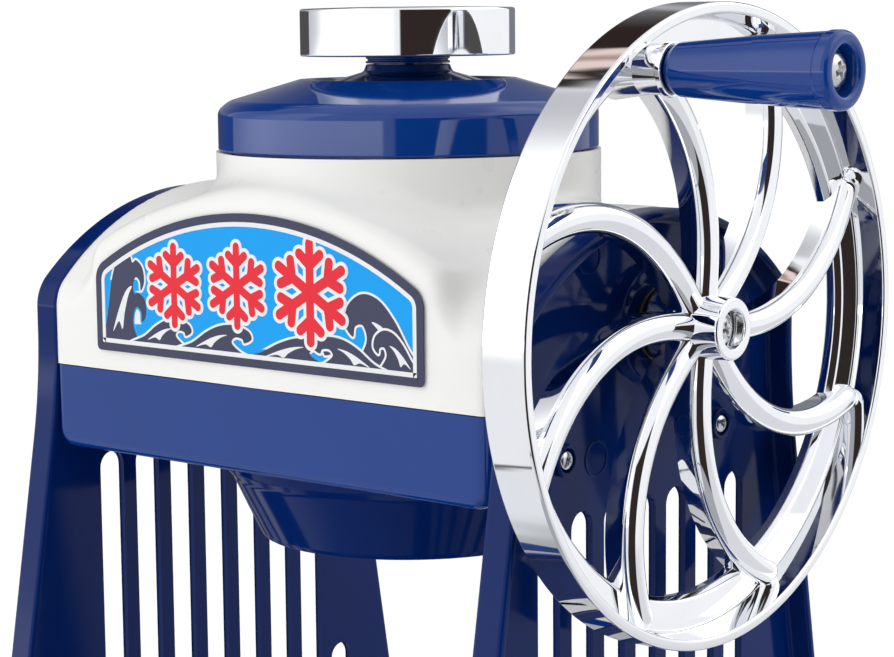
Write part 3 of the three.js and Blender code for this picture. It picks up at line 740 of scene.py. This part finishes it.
def settled(points, faces, field, cell):
    """Evens out the spacing of a net's points, and puts them back on the field's zero surface each time."""
    for _ in range(8):
        total, number = np.zeros_like(points), np.zeros(len(points))
        for k in range(4):
            for other in (faces[:, k - 1], faces[:, (k + 1) % 4]):
                np.add.at(total, faces[:, k], points[other])
                np.add.at(number, faces[:, k], 1)
        points = total / number[:, None]
        for _ in range(3):
            at = field(points)
            slope = np.stack([(field(points + d) - field(points - d)) / 0.02 for d in np.eye(3) * 0.01], -1)
            move = slope * (at / np.maximum((slope**2).sum(-1), 1e-6))[:, None]
            points = points - np.clip(move, -cell, cell)
    return points


def trimmed(obj, low, high):
    """Cuts an open skin off below low and above high."""
    def trim(work):
        for height, keep_above in ((low, True), (high, False)):
            everything = work.verts[:] + work.edges[:] + work.faces[:]
            bmesh.ops.bisect_plane(work, geom=everything, plane_co=(0, 0, height), plane_no=(0, 0, 1),
                                   clear_inner=keep_above, clear_outer=not keep_above, dist=0.02)
    return edited(obj, trim)


def upper_housing():
    """A shell under the field's zero surface, open at the neck and towards the lower housing."""
    points, faces = surface_net(housing_field, NET_LOW, NET_HIGH, NET_CELL)
    skin = facing_out(mesh_object("upper_housing_fine", points, faces))
    trimmed(skin, HOUSING_SPLIT, HOPPER_TOP)
    shell = skin.modifiers.new("wall", "SOLIDIFY")
    shell.thickness = WALL
    shell.offset = -1
    shell.use_even_offset = True
    applied(skin)
    hole = lathe("hole", [(0, 70), (7.0, 70), (7.0, 98), (0, 98)], "X", CRANK, 64)
    combined(skin, [hole], "DIFFERENCE")
    piece(skin, "frame", WHITE, ["upper_housing"], sharp=70)


def upright_box(half_width, low, high, radius):
    """A box outline in X and Z with its two lower corners rounded."""
    return rounded([(-half_width, low, radius), (half_width, low, radius), (half_width, high),
                    (-half_width, high)])


def lower_housing():
    """A tray under the housing, with a round opening for the chute."""
    top = HOUSING_SPLIT - 0.3
    back = BODY_BACK + HOUSING_HALF_DEPTH
    outline = upright_box(HOUSING_HALF_WIDTH, HOUSING_BOTTOM, HOUSING_BOTTOM + 40, 6.0)
    body = pressed("lower_housing_fine", "Y", outline, soft_edge(HOUSING_FRONT, back, 3.6, 6))
    inner = upright_box(HOUSING_HALF_WIDTH - WALL, HOUSING_BOTTOM + WALL, HOUSING_BOTTOM + 60, 2.5)
    hollow = pressed("hollow", "Y", inner, soft_edge(HOUSING_FRONT + WALL, back - WALL, 1.5, 3))
    square = [(-120, -100), (120, -100), (120, 100), (-120, 100)]
    above = pressed("above", "Z", square, [(0, top), (0, top + 60)])
    bore = lathe("bore", [(0, 215), (59.9, 215), (59.9, 240), (0, 240)], "Z", HOPPER)
    combined(body, [hollow, above, bore], "DIFFERENCE")
    piece(body, "frame", BLUE, ["lower_housing"])


# ---- label: a generic crystal and wave motif ----
LABEL_HALF_WIDTH, LABEL_BOTTOM, LABEL_SIDE, LABEL_TOP, LABEL_CORNER = 69.0, 256.7, 283.0, 303.3, 7.0
LABEL_BACK = HOUSING_FRONT - 0.3
INK_STEP = 0.05


def label_outline(inset=0.0):
    """The label's edge, arched along its top."""
    half, rise = LABEL_HALF_WIDTH, LABEL_TOP - LABEL_SIDE
    radius = (half**2 + rise**2) / (2 * rise)
    bottom = rounded([(-half, 280), (-half, LABEL_BOTTOM, 1.6), (half, LABEL_BOTTOM, 1.6), (half, 280)],
                     False)[1:-1]
    path = bottom + arch_top(half, LABEL_TOP, radius, LABEL_CORNER)
    return offset(path, inset) if inset else path


def ink(name, outline, layer, colour, holes=()):
    """A flat printed shape: higher layers lie over lower ones."""
    face = LABEL_BACK - 0.4 - INK_STEP * layer
    made = pressed(name, "Y", outline, [(0, LABEL_BACK - 0.35), (0, face)], holes)
    made["ink"] = colour
    return made


def spline(points, parts=8):
    """A smooth closed path through a few points."""
    count = len(points)
    made = []
    for i in range(count):
        a, b, c, d = [Vector(points[(i + k - 1) % count]) for k in range(4)]
        for k in range(parts):
            t = k / parts
            made.append(tuple(0.5 * (2 * b + (c - a) * t + (2 * a - 5 * b + 4 * c - d) * t * t
                                     + (3 * b - a - 3 * c + d) * t**3)))
    return made


# Waves of unit size that lean to the right, anticlockwise from the foot of the back: a claw and a roller.
CLAW = [(-1.0, -0.1), (0.1, -0.12), (0.95, -0.1), (0.6, 0.06), (0.42, 0.22), (0.46, 0.36), (0.6, 0.42),
        (0.76, 0.36), (0.78, 0.26), (0.94, 0.34), (0.9, 0.5), (0.66, 0.57), (0.5, 0.56), (0.44, 0.64),
        (0.56, 0.74), (0.72, 0.7), (0.76, 0.6), (0.9, 0.7), (0.84, 0.85), (0.6, 0.93), (0.44, 0.9),
        (0.32, 1.0), (0.04, 1.0), (-0.2, 0.9), (-0.42, 0.68), (-0.56, 0.4), (-0.74, 0.12)]
ROLLER = [(-1.0, -0.12), (0.1, -0.16), (1.0, -0.12), (0.72, 0.12), (0.52, 0.38), (0.6, 0.58), (0.78, 0.56),
          (0.84, 0.42), (1.02, 0.58), (0.94, 0.84), (0.62, 1.0), (0.24, 0.94), (-0.12, 0.68), (-0.5, 0.26)]
FOAM = [(-0.5, 0.16), (-0.12, 0.52), (0.22, 0.74), (0.5, 0.8), (0.3, 0.66), (0.1, 0.42), (-0.02, 0.2),
        (-0.2, 0.3)]
WAVE_LIMIT, WAVE_FOOT = 67.0, 258.6
# (shape, x, z, half width, height), from the back to the front
WAVES = [(CLAW, -57.0, 259.5, 11.5, 29.0), (ROLLER, 56.0, 260.0, -17.0, 22.0),
         (ROLLER, -40.0, 260.5, 14.0, 8.5), (ROLLER, 60.0, 260.0, -10.0, 12.0),
         (ROLLER, -17.0, 260.0, 17.0, 9.0), (ROLLER, 14.0, 259.5, 20.0, 8.0),
         (ROLLER, 42.0, 259.5, -16.0, 9.0)]
# (x, z, length of an arm, half width of an arm)
CRYSTALS = [(-33.0, 279.5, 12.0, 1.35), (-5.5, 281.0, 12.0, 1.35), (25.0, 281.0, 14.6, 1.6)]


def wave(shape, x, z, width, height):
    """A unit wave put in its place; a negative width makes it lean to the left."""
    path = [(x + u * width, z + v * height) for u, v in shape]
    if width < 0:
        path.reverse()
    return spline(path)


def held_in(path):
    """A wave's outline pushed back inside the label's line."""
    made = []
    for x, z in path:
        point = (max(-WAVE_LIMIT, min(WAVE_LIMIT, x)), max(WAVE_FOOT, z))
        if not made or math.dist(point, made[-1]) > 0.02:
            made.append(point)
    return made


def crystal_strokes(x, z, size):
    """The six branched arms of a snow crystal, each stroke as its two ends."""
    centre = Vector((x, z))
    strokes = []
    for k in range(6):
        tip = Vector(polar(size, 90 + 60 * k))
        strokes.append((centre, centre + tip))
        fork = tip * 0.56
        for turn in (-52, 52):
            twig = Vector(polar(size * 0.36, 90 + 60 * k + turn))
            strokes.append((centre + fork, centre + fork + twig))
    return strokes


def capsule(a, b, radius):
    """A stroke with round ends."""
    turn = math.degrees(math.atan2(b.y - a.y, b.x - a.x))
    far = arc(b.x, b.y, radius, turn - 90, turn + 90, 15)
    return far + arc(a.x, a.y, radius, turn + 90, turn + 270, 15)


def crystal(name, x, z, size, width, layer, colour):
    """A printed snow crystal."""
    strokes = [ink(name, capsule(a, b, width), layer, colour) for a, b in crystal_strokes(x, z, size)]
    return combined(strokes[0], strokes[1:], "UNION")


def label():
    """The printed label: a sky, waves with foam, snow crystals, a line and a border."""
    field = ink("label_field", label_outline(), 0, "sky")
    layers = [field]
    for i, (shape, x, z, width, height) in enumerate(WAVES):
        path = wave(shape, x, z, width, height)
        foam = wave(FOAM, x, z, width * 0.8, height * 0.8)
        layers.append(ink(f"label_wave_edge_{i}", held_in(offset(path, -0.7)), 1 + 0.3 * i, "white"))
        layers.append(ink(f"label_wave_{i}", held_in(path), 1.1 + 0.3 * i, "slate"))
        layers.append(ink(f"label_foam_{i}", held_in(foam), 1.2 + 0.3 * i, "white"))
    for i, (x, z, size, width) in enumerate(CRYSTALS):
        layers.append(crystal(f"label_crystal_edge_{i}", x, z, size, width + 1.1, 4 + i * 0.2, "white"))
        layers.append(crystal(f"label_crystal_{i}", x, z, size, width, 4.1 + i * 0.2, "red"))
    layers.append(ink("label_line", label_outline(2.2), 5, "white", [label_outline(4.0)]))
    layers.append(ink("label_border", label_outline(), 5.4, "slate", [label_outline(2.6)]))
    for layer in layers:
        nodes = ["label_plate"] if layer is field else []
        piece(layer, "frame", INK[layer["ink"]], nodes)


# ---- hand wheel ----
WHEEL_RADIUS, WHEEL_FACE, WHEEL_BACK = 95.0, 122.2, 107.2
ARM_COUNT, ARM_WIDTH, ARM_FACE, ARM_BACK = 8, 8.7, 117.6, 107.8
ARM_FIRST, ARM_SWEEP, ARM_BEND, ARM_START, ARM_END = 129.2, 31.0, 1.44, 5.0, 91.0
HUB_FACE, HUB_BACK, HUB_SEAT = 125.2, 100.4, 120.0


def arm_angle(start, radius):
    """Where a swept arm's middle line is at a radius."""
    return start + max(0.0, (radius - 15) / 75) ** ARM_BEND * ARM_SWEEP


def arm_section(fade):
    """An arm's cross-section as (across, x): fade is 1 where it is whole, and falls at its round end."""
    half, crown = ARM_WIDTH / 2 * fade, 4.2 * fade
    top = ARM_BACK + (ARM_FACE - ARM_BACK) * (0.45 + 0.55 * fade)
    section = [(-half * 0.94, ARM_BACK)]
    for k in range(13):
        a = math.pi * k / 12
        section.append((-half * math.cos(a), top - crown + crown * math.sin(a)))
    section.append((half * 0.94, ARM_BACK))
    return section


def wheel_arm(start):
    """One swept arm with a round front, deep sides and a round end."""
    sections, end_length = [], 3.4
    for k in range(45):
        radius = ARM_START + (ARM_END - ARM_START) * (1 - (1 - k / 44) ** 1.4)
        here = Vector(polar(radius, arm_angle(start, radius)))
        ahead = Vector(polar(radius + 0.1, arm_angle(start, radius + 0.1)))
        along = (ahead - here).normalized()
        across = Vector((-along.y, along.x))
        left = max(0.0, 1 - (ARM_END - radius) / end_length)
        fade = math.sqrt(max(0.0, 1 - left * left)) * 0.9 + 0.1
        sections.append([(x, here.x + across.x * side + AXIS_BACK, here.y + across.y * side + SHAFT_HEIGHT)
                         for side, x in arm_section(fade)])
    return swept("arm", sections)


def hand_wheel():
    """Rim, hub, arms and the grip's boss in one casting."""
    rim = rounded([(WHEEL_RADIUS, WHEEL_BACK, 0.8), (WHEEL_RADIUS, WHEEL_FACE, 1.1), (91.7, WHEEL_FACE, 0.9),
                   (90.6, 112.7, 1.1), (82.0, 112.3, 1.8), (80.5, 110.2, 1.2), (80.5, WHEEL_BACK, 0.6)],
                  step=10)
    wheel = lathe("hand_wheel_fine", rim, "X", CRANK, 256)
    hub = rounded([(0, HUB_BACK), (11.4, HUB_BACK, 0.8), (11.3, 110.5, 1.0), (9.6, 114.5, 2.0),
                   (9.3, HUB_FACE, 0.9), (5.9, HUB_FACE, 0.6), (5.5, HUB_SEAT, 0.3), (0, HUB_SEAT)],
                  False, 10)
    tools = [lathe("hub", hub, "X", CRANK, 128)]
    tools += [wheel_arm(ARM_FIRST + 360 * k / ARM_COUNT) for k in range(ARM_COUNT)]
    root = span("grip")[0].x
    boss = rounded([(0, 108.2), (8.6, 108.2), (7.2, 119.0, 3.0), (7.0, root - 2.6, 0.3),
                    (7.8, root - 2.2, 0.3), (7.8, root - 0.3, 0.4), (2.1, root - 0.3), (2.1, 114.0),
                    (0, 114.0)], False)
    tools.append(lathe("boss", boss, "X", GRIP, 96))
    combined(wheel, tools, "UNION")
    bore = lathe("bore", [(0, 96), (4.3, 96), (4.3, HUB_SEAT + 2), (0, HUB_SEAT + 2)], "X", CRANK, 64)
    combined(wheel, [bore], "DIFFERENCE")
    piece(wheel, "crank", CHROME, ["hand_wheel"], sharp=28)


def crank_screws():
    """The screw in the hub, and the long bolt that the grip turns on."""
    hub_screw = phillips_screw("hub_screw_fine", 4.8, 2.2, 1.5, 12.0, 2.5)
    moved(hub_screw, Matrix.Translation((HUB_SEAT + 0.3, AXIS_BACK, SHAFT_HEIGHT)))
    piece(hub_screw, "crank", STEEL, ["hub_screw"])
    grip_bolt = phillips_screw("grip_bolt_fine", 4.9, 2.4, 1.5, 54.0, 3.1)
    moved(grip_bolt, Matrix.Translation((span("grip")[1].x - 4.4, GRIP[1], GRIP[2])))
    piece(grip_bolt, "crank", STEEL, ["grip_bolt"])


def crank_shaft():
    """The shaft, with a screw hole in its outer end."""
    low, high = span("crank_shaft")
    profile = rounded([(0, low.x), (4, low.x, 0.6), (4, high.x, 0.3), (1.8, high.x), (1.8, high.x - 13),
                       (0, high.x - 13)], False)
    turned("crank_shaft", "crank", STEEL, profile, "X", CRANK, 48)


def shaft_bushes():
    """The two flanged bushes of the crank shaft."""
    for name, radius, flange in (("shaft_bush_outer", 8.7, 11.5), ("shaft_bush_inner", 7.0, 9.0)):
        low, high = span(name)
        step = high.x - 1.4
        profile = rounded([(4.3, low.x), (radius, low.x, 0.4), (radius, step), (flange, step, 0.3),
                           (flange, high.x, 0.4), (4.3, high.x, 0.3)])
        turned(name, "frame", DARK_NYLON, profile, "X", CRANK, 64)


def grip():
    """A tapered grip with a rounded end and a pocket for the bolt's head."""
    low, high = span("grip")
    tip = high.x
    profile = rounded([(2, low.x), (6.6, low.x, 0.5), (7.6, low.x + 2.2, 1.5), (9.4, low.x + 28, 60.0),
                       (10.4, tip - 5.0, 0.6), (10.7, tip - 4.4, 0.6), (10.7, tip, 3.4), (6.7, tip, 1.6),
                       (6.4, tip - 4.8), (2, tip - 4.8)], step=8)
    turned("grip", "grip", BLUE, profile, "X", GRIP, 96)


# ---- lid and press ----
def lid():
    """A domed lid with a collar for the press and a skirt inside the hopper."""
    low, high = span("lid")
    bottom = low.z + 5
    skirt_out, skirt_in = 59.0, 56.6
    profile = rounded([
        (61.2, bottom, 0.7), (61.2, 332.4, 3.4), (57.6, 335.4, 7.0), (34.6, 342.1, 1.8), (31.6, 340.9, 1.8),
        (24.0, 341.4, 5.0), (14.4, 344.2, 1.4), (13.4, high.z, 0.6), (11.3, high.z, 0.3), (11.3, 338.5),
        (31, 338.2, 4), (51, 334, 3), (skirt_in, 330, 2), (skirt_in, low.z, 0.4), (skirt_out, low.z, 0.4),
        (skirt_out, bottom)], step=8)
    turned("lid", "lid", BLUE, profile, "Z", HOPPER, 192)


def knob():
    """The press's plated knob, hollowed underneath."""
    low, high = span("knob")
    profile = rounded([(0, high.z), (20, high.z, 30), (34.5, high.z - 0.3, 0.9), (34.5, low.z, 0.9),
                       (33.0, low.z, 0.4), (32.2, low.z + 1.0, 0.6), (15.5, low.z + 1.0, 0.5),
                       (15.0, low.z, 0.3), (5.3, low.z), (5.3, low.z + 9.3), (0, low.z + 9.3)], False, 9)
    turned("knob", "press", CHROME, profile, "Z", HOPPER, 192)


def press_rod():
    """The press's rod, with a ribbed collar under the knob."""
    bottom = span("press_rod")[0].z
    hub_top, seat, collar_top, top = 269.2, 346.9, 349.0, 358.0
    ribs = [(13.6, seat, 0.4), (13.6, seat + 0.6, 0.3), (12.9, seat + 0.9, 0.2), (12.9, seat + 1.2, 0.2),
            (13.5, seat + 1.5, 0.3), (13.5, collar_top, 0.3)]
    profile = rounded([(0, bottom), (6, bottom, 0.4), (6, hub_top), (11, hub_top, 0.6), (11, seat)] + ribs
                      + [(5, collar_top), (5, top, 0.5), (0, top)], False)
    turned("press_rod", "press", BLUE, profile, "Z", HOPPER, 96)


def press_plate():
    """The spiked plate that holds the ice down."""
    bottom, radius = 262.0, 46.0
    profile = rounded([(0, bottom), (radius, bottom, 1.0), (radius, bottom + 3, 0.8), (17, bottom + 3.6, 2.0),
                       (16.6, 268.9, 0.8), (6.3, 268.9, 0.4), (6.3, bottom + 1.5), (0, bottom + 1.5)], False)
    plate = lathe("press_plate_fine", profile, "Z", HOPPER, 96)
    spikes = []
    for i in range(8):
        x, y = polar(34 if i % 2 else 18, i * 45)
        spike = [(0, bottom - 5), (0.5, bottom - 4.7), (2.4, bottom + 0.4), (0, bottom + 0.4)]
        spikes.append(lathe("spike", spike, "Z", (x, y + AXIS_BACK, 0), 20))
    joined(plate, *spikes)
    piece(plate, "press", WHITE, ["press_plate"])


SPRING_RADIUS, SPRING_WIRE, SPRING_TURNS, SPRING_BOTTOM, SPRING_TOP = 14.0, 1.0, 6, 269.3, 339.2


def spring_path():
    """The middle line of a helix with closed end turns."""
    turns = SPRING_TURNS + 1
    low, high = SPRING_BOTTOM + SPRING_WIRE, SPRING_TOP - SPRING_WIRE
    path = []
    for i in range(turns * 40 + 1):
        turn = i / 40
        rise = min(1.0, max(0.0, (turn - 0.6) / (turns - 1.2)))
        x, y = polar(SPRING_RADIUS, turn * 360)
        path.append(Vector((x, y + AXIS_BACK, low + (high - low) * rise)))
    return path


def press_spring():
    """A spring between lid and press plate."""
    path = spring_path()
    sections = []
    for i, point in enumerate(path):
        along = (path[min(i + 1, len(path) - 1)] - path[max(i - 1, 0)]).normalized()
        outward = Vector((point.x, point.y - AXIS_BACK, 0)).normalized()
        side = along.cross(outward).normalized()
        section = []
        for k in range(10):
            across, up = polar(SPRING_WIRE, 36 * k)
            section.append(point + outward * across + side * up)
        sections.append(section)
    made = swept("press_spring_fine", sections)
    piece(made, "lid", STEEL, ["press_spring"])
    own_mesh(made)


# ---- chute, drum and inner parts ----
def ice_chute():
    """A flared ring with three lugs that lock it into the housing."""
    low, high = span("ice_chute")
    flange = HOUSING_BOTTOM - 0.3
    profile = rounded([(46.6, low.z + 0.8, 0.3), (47.2, low.z, 0.3), (49.4, low.z, 0.6),
                       (50.4, low.z + 1.6, 1.0), (59.0, flange - 7.5, 8.0), (61.4, flange - 4.6, 1.2),
                       (62.0, flange, 0.5), (59.6, flange), (59.6, 229.2, 0.4), (57.6, 229.2, 0.4),
                       (57.6, flange - 5, 2.0), (56.0, flange - 10, 6.0)])
    chute = lathe("ice_chute_fine", profile, "Z", HOPPER, 160)
    lugs = []
    for i in range(3):
        lug = pressed("lug", "Z", [(58.6, -4), (61.2, -4), (61.2, 4), (58.6, 4)],
                      soft_edge(high.z - 2, high.z, 0.4, 2))
        place = Matrix.Translation(HOPPER) @ Matrix.Rotation(math.radians(120 * i), 4, "Z")
        lugs.append(moved(lug, place))
    joined(chute, *lugs)
    # painted shade: the chute uses a darker copy of the blue gloss
    piece(chute, "chute", PAINTED_SHADE_BLUE, ["ice_chute"])


def ice_drum():
    """A clear drum with four ribs that carry the ice round."""
    low, high = span("ice_drum")
    profile = rounded([(49, low.z, 0.5), (52, low.z, 0.5), (52, high.z - 3, 0.8), (53.5, high.z - 1, 0.5),
                       (53.5, high.z, 0.5), (49, high.z, 0.6)])
    drum = lathe("ice_drum_fine", profile, "Z", HOPPER, 128)
    ribs = []
    for i in range(4):
        outline = rounded([(46.8, -1.5, 0.7), (50, -1.5), (50, 1.5), (46.8, 1.5, 0.7)])
        rib = pressed("rib", "Z", outline, soft_edge(low.z + 1, high.z - 6, 0.5, 2))
        ribs.append(moved(rib, Matrix.Translation(HOPPER) @ Matrix.Rotation(math.radians(90 * i), 4, "Z")))
    combined(drum, ribs, "UNION")
    piece(drum, "drum", CLEAR, ["ice_drum"])


def thrust_ring():
    """The ring that the drum turns on."""
    low, high = span("thrust_ring")
    profile = rounded([(53, low.z, 0.3), (62, low.z, 0.3), (62, high.z, 0.3), (53, high.z, 0.3)])
    turned("thrust_ring", "frame", NYLON, profile, "Z", HOPPER, 128)


# ---- base ----
TRAY_BASIN, TRAY_FLOOR, DRIP_RADIUS, DRIP_SLOTS = 72.0, 8.0, 76.0, 14


def base_tray():
    """A slab with a bowl for the melt water, a seat for the drip plate and pockets for the feet."""
    low, high = span("base_tray")
    half_x, half_y = (high.x - low.x) / 2, (high.y - low.y) / 2
    outline = rounded([(-half_x, -half_y, 8), (half_x, -half_y, 8), (half_x, half_y, 8),
                       (-half_x, half_y, 8)], step=6)
    tray = pressed("base_tray_fine", "Z", outline, soft_edge(low.z, high.z, 1.6, 5))
    ledge, seat = 19.0, DRIP_RADIUS + 0.3
    bowl = rounded([(0, TRAY_FLOOR), (TRAY_BASIN, TRAY_FLOOR, 4.0), (TRAY_BASIN, ledge, 0.4),
                    (seat, ledge, 0.4), (seat, high.z - 0.8), (seat + 1.4, high.z + 1), (0, high.z + 1)],
                   False)
    tools = [lathe("bowl", bowl, "Z", (0, 0, 0), 160)]
    for node in nodes_named("foot_"):
        low_foot, high_foot = span(node)
        centre = (low_foot + high_foot) / 2
        pocket = [(0, 0), (9.3, 0), (9.3, high_foot.z + 0.3), (0, high_foot.z + 0.3)]
        tools.append(lathe("pocket", pocket, "Z", (centre.x, centre.y, 0), 48))
    combined(tray, tools, "DIFFERENCE")
    piece(tray, "frame", BLUE, ["base_tray"])


def drip_plate():
    """A round plate with slots like the spokes of a wheel."""
    low, high = span("drip_plate")
    holes = []
    for i in range(DRIP_SLOTS):
        turn = Matrix.Rotation(2 * math.pi * i / DRIP_SLOTS, 2)
        holes.append([tuple(turn @ Vector(p)) for p in stadium(0, 5, 26, 62, 8)])
    made = pressed("drip_plate_fine", "Z", circle(0, 0, DRIP_RADIUS, 160), soft_edge(low.z, high.z, 0.8, 3),
                   holes, hollow_edge(low.z, high.z, 0.6))
    piece(made, "drip", WHITE, ["drip_plate"])


def feet():
    """Rubber feet with a groove round their soles."""
    for node in nodes_named("foot_"):
        low, high = span(node)
        centre = (low + high) / 2
        profile = rounded([(0, 0.0), (5, 0.0, 0.3), (5.4, 0.5, 0.3), (6.2, 0.5, 0.3), (6.6, 0.0, 0.3),
                           (9, 0.0, 1.3), (9, high.z, 0.4), (0, high.z)], False)
        turned(node, "frame", RUBBER, profile, "Z", (centre.x, centre.y, 0), 64)


# ---- studio ----
class Sky(Nodes):
    """The world's light, laid on in patches. Places are in degrees, around the machine and up."""

    def __init__(self, tree):
        super().__init__(tree)
        tree.nodes.clear()
        place = self.add("TexCoord").outputs["Generated"]
        x, y, z = self.add("SeparateXYZ", Vector=place).outputs
        azimuth = self.maths("MULTIPLY", self.maths("ARCTAN2", y, x), 180 / math.pi)
        self.around = self.maths("MODULO", self.maths("ADD", azimuth, 360), 360)
        self.height = self.maths("MULTIPLY", self.maths("ARCSINE", z), 180 / math.pi)
        ripple = self.add("TexNoise", Vector=place, Scale=9).outputs["Fac"]
        uneven = self.maths("MULTIPLY", self.maths("SUBTRACT", ripple, 0.5), 5)
        self.wavy = self.maths("ADD", self.height, uneven)

    def maths(self, operation, *values):
        """The output of a math node."""
        node = self.add("Math")
        node.operation = operation
        for socket, value in zip(node.inputs, values):
            self.feed(socket, value)
        return node.outputs[0]

    def step(self, value, start, end):
        """0 at start and 1 at end, with a soft rise between them."""
        node = self.add("MapRange", Value=value, From_Min=start, From_Max=end)
        node.interpolation_type = "SMOOTHSTEP"
        return node.outputs["Result"]

    def window(self, value, low, high, soft):
        """1 between low and high, with soft edges."""
        rise = self.step(value, low - soft, low + soft)
        return self.maths("MULTIPLY", rise, self.step(value, high + soft, high - soft))

    def patch(self, value, arounds, heights, soft):
        """A soft-edged rectangle, with the plain or the wavy height as its value."""
        across = self.window(self.around, *arounds, soft)
        return self.maths("MULTIPLY", across, self.window(value, *heights, soft))

    def growing(self, mask, start, end):
        """A patch that fades in from start to end."""
        return self.maths("MULTIPLY", mask, self.step(self.around, start, end))

    def shown(self, colour):
        """Lights the scene with the colour, behind a plain white backdrop."""
        is_backdrop = self.add("LightPath").outputs["Is Camera Ray"]
        mix = self.add("MixShader", Fac=is_backdrop)
        self.feed(mix.inputs[1], self.add("Background", Color=colour).outputs[0])
        self.feed(mix.inputs[2], self.add("Background", Color=(1, 1, 1)).outputs[0])
        self.add("OutputWorld", Surface=mix.outputs[0])


def studio_world():
    """A white tent with dark gaps. The backdrop that the camera sees is plain white."""
    world = bpy.data.worlds.new("studio")
    bpy.context.scene.world = world
    world.use_nodes = True
    sky = Sky(world.node_tree)
    around, height, wavy, patch = sky.around, sky.height, sky.wavy, sky.patch
    wall, beam = (172, 299), (127, 166)
    glow = patch(height, wall, (-4, 60), 5)
    lamp = patch(height, (172, 248), (-4, 60), 5)
    line = patch(height, (170, 296), (-3.7, -0.9), 0.7)
    behind = sky.mixed(sky.step(wavy, 5, 38), (0.3, 0.3, 0.32), (0.028, 0.018, 0.017))
    lit = (0.38, 0.39, 0.41)
    for mask, colour in (
        # the table, the roof, and the wall that the machine's front mirrors
        (sky.window(around, -9, 127, 4), (0.72, 0.73, 0.76)),
        (sky.step(height, -17, -10), (0.95, 0.96, 0.98)),
        (sky.step(height, 45, 80), (0.85, 0.87, 0.9)),
        (patch(wavy, wall, (-50, -20), 3), (0.78, 0.8, 0.83)),
        (patch(wavy, wall, (-36, -5), 1), (0.85, 0.86, 0.88)),
        (glow, (0.56, 0.57, 0.6)),
        (sky.growing(glow, 182, 226), (1.12, 1.13, 1.14)),
        # lamps, and a thin bright line just below the horizon
        (sky.growing(lamp, 196, 234), (1.8, 1.8, 1.8)),
        (patch(height, (2, 88), (18, 60), 6), (1.75, 1.75, 1.76)),
        (sky.growing(line, 180, 225), (3.0, 3.05, 3.1)),
        # a seam in the wall, the gaps at the camera's side and behind the machine, and a warm beam
        (patch(wavy, wall, (-36.6, -35.6), 0.5), (0.12, 0.12, 0.13)),
        (patch(height, (90, 127), (-15, 30), 2), (0.2, 0.21, 0.24)),
        (patch(height, (303, 358), (-35, 24), 1.2), (0.03, 0.022, 0.02)),
        (patch(wavy, (127, 172), (-25, 53), 1.5), behind),
        (patch(height, (127, 181), (-5, 3), 1), (0.08, 0.075, 0.075)),
        (patch(wavy, beam, (45.6, 51), 0.6), (0.8, 0.66, 0.62)),
        (patch(wavy, beam, (47.2, 48.6), 0.7), (0.45, 0.3, 0.26)),
    ):
        lit = sky.mixed(mask, lit, colour)
    sky.shown(lit)


FLOOR_RADIUS, FLOOR_HEIGHT = 4.0, -0.0002  # metres


def studio_floor():
    """Matt white paper under the machine, just bright enough to melt into the backdrop."""
    edge = [(x, y, FLOOR_HEIGHT) for x, y in circle(0, 0, FLOOR_RADIUS, 96)]
    floor = mesh_object("studio_floor", edge, [tuple(range(96))])
    paper = Shader("floor_paper", Roughness=0.9, Specular_IOR_Level=0.1, Emission_Color=(1, 1, 1),
                   Emission_Strength=0.05)
    paper.set(paper.mixed(paper.noise(3, 4), (0.96, 0.96, 0.96), (0.99, 0.99, 0.98)), "Base Color")
    floor.data.materials.append(paper.material)
    floor.visible_glossy = False


CAMERA_FROM_AXIS = Vector((509.2, -584.8, 360.2))  # millimetres from the foot of the hopper's axis
CAMERA_TURN, CAMERA_DIP, CAMERA_ROLL, CAMERA_LENS = 40.18, 7.31, 0.55, 96.6


def camera():
    """A long lens, a little above the machine's lid and to the right of its front."""
    data = bpy.data.cameras.new("camera")
    data.lens, data.sensor_width = CAMERA_LENS, 36.0
    data.clip_start, data.clip_end = 0.01, 50.0
    made = bpy.data.objects.new("camera", data)
    bpy.context.scene.collection.objects.link(made)
    foot = Vector((lid_middle.x, lid_middle.y, 0))
    turn = Matrix.Rotation(math.radians(CAMERA_TURN), 4, "Z")
    dip = Matrix.Rotation(math.radians(90 - CAMERA_DIP), 4, "X")
    roll = Matrix.Rotation(math.radians(-CAMERA_ROLL), 4, "Z")
    made.matrix_world = Matrix.Translation((foot + CAMERA_FROM_AXIS) * MM) @ turn @ dip @ roll
    bpy.context.scene.camera = made


def studio():
    """The surroundings, and how light is followed through them."""
    studio_world()
    studio_floor()
    scene = bpy.context.scene
    scene.view_settings.view_transform = "Standard"
    scene.cycles.use_denoising = True
    scene.cycles.max_bounces = 14
    scene.cycles.glossy_bounces = 8
    scene.cycles.caustics_reflective = False
    scene.cycles.caustics_refractive = False


# ---- the whole ----
camera()
dress_cad_nodes()
side_plate(1)
side_plate(-1)
plate_screws()
upper_housing()
lower_housing()
label()
hand_wheel()
crank_screws()
crank_shaft()
shaft_bushes()
grip()
lid()
knob()
press_rod()
press_plate()
press_spring()
ice_chute()
ice_drum()
thrust_ring()
base_tray()
drip_plate()
feet()
studio()
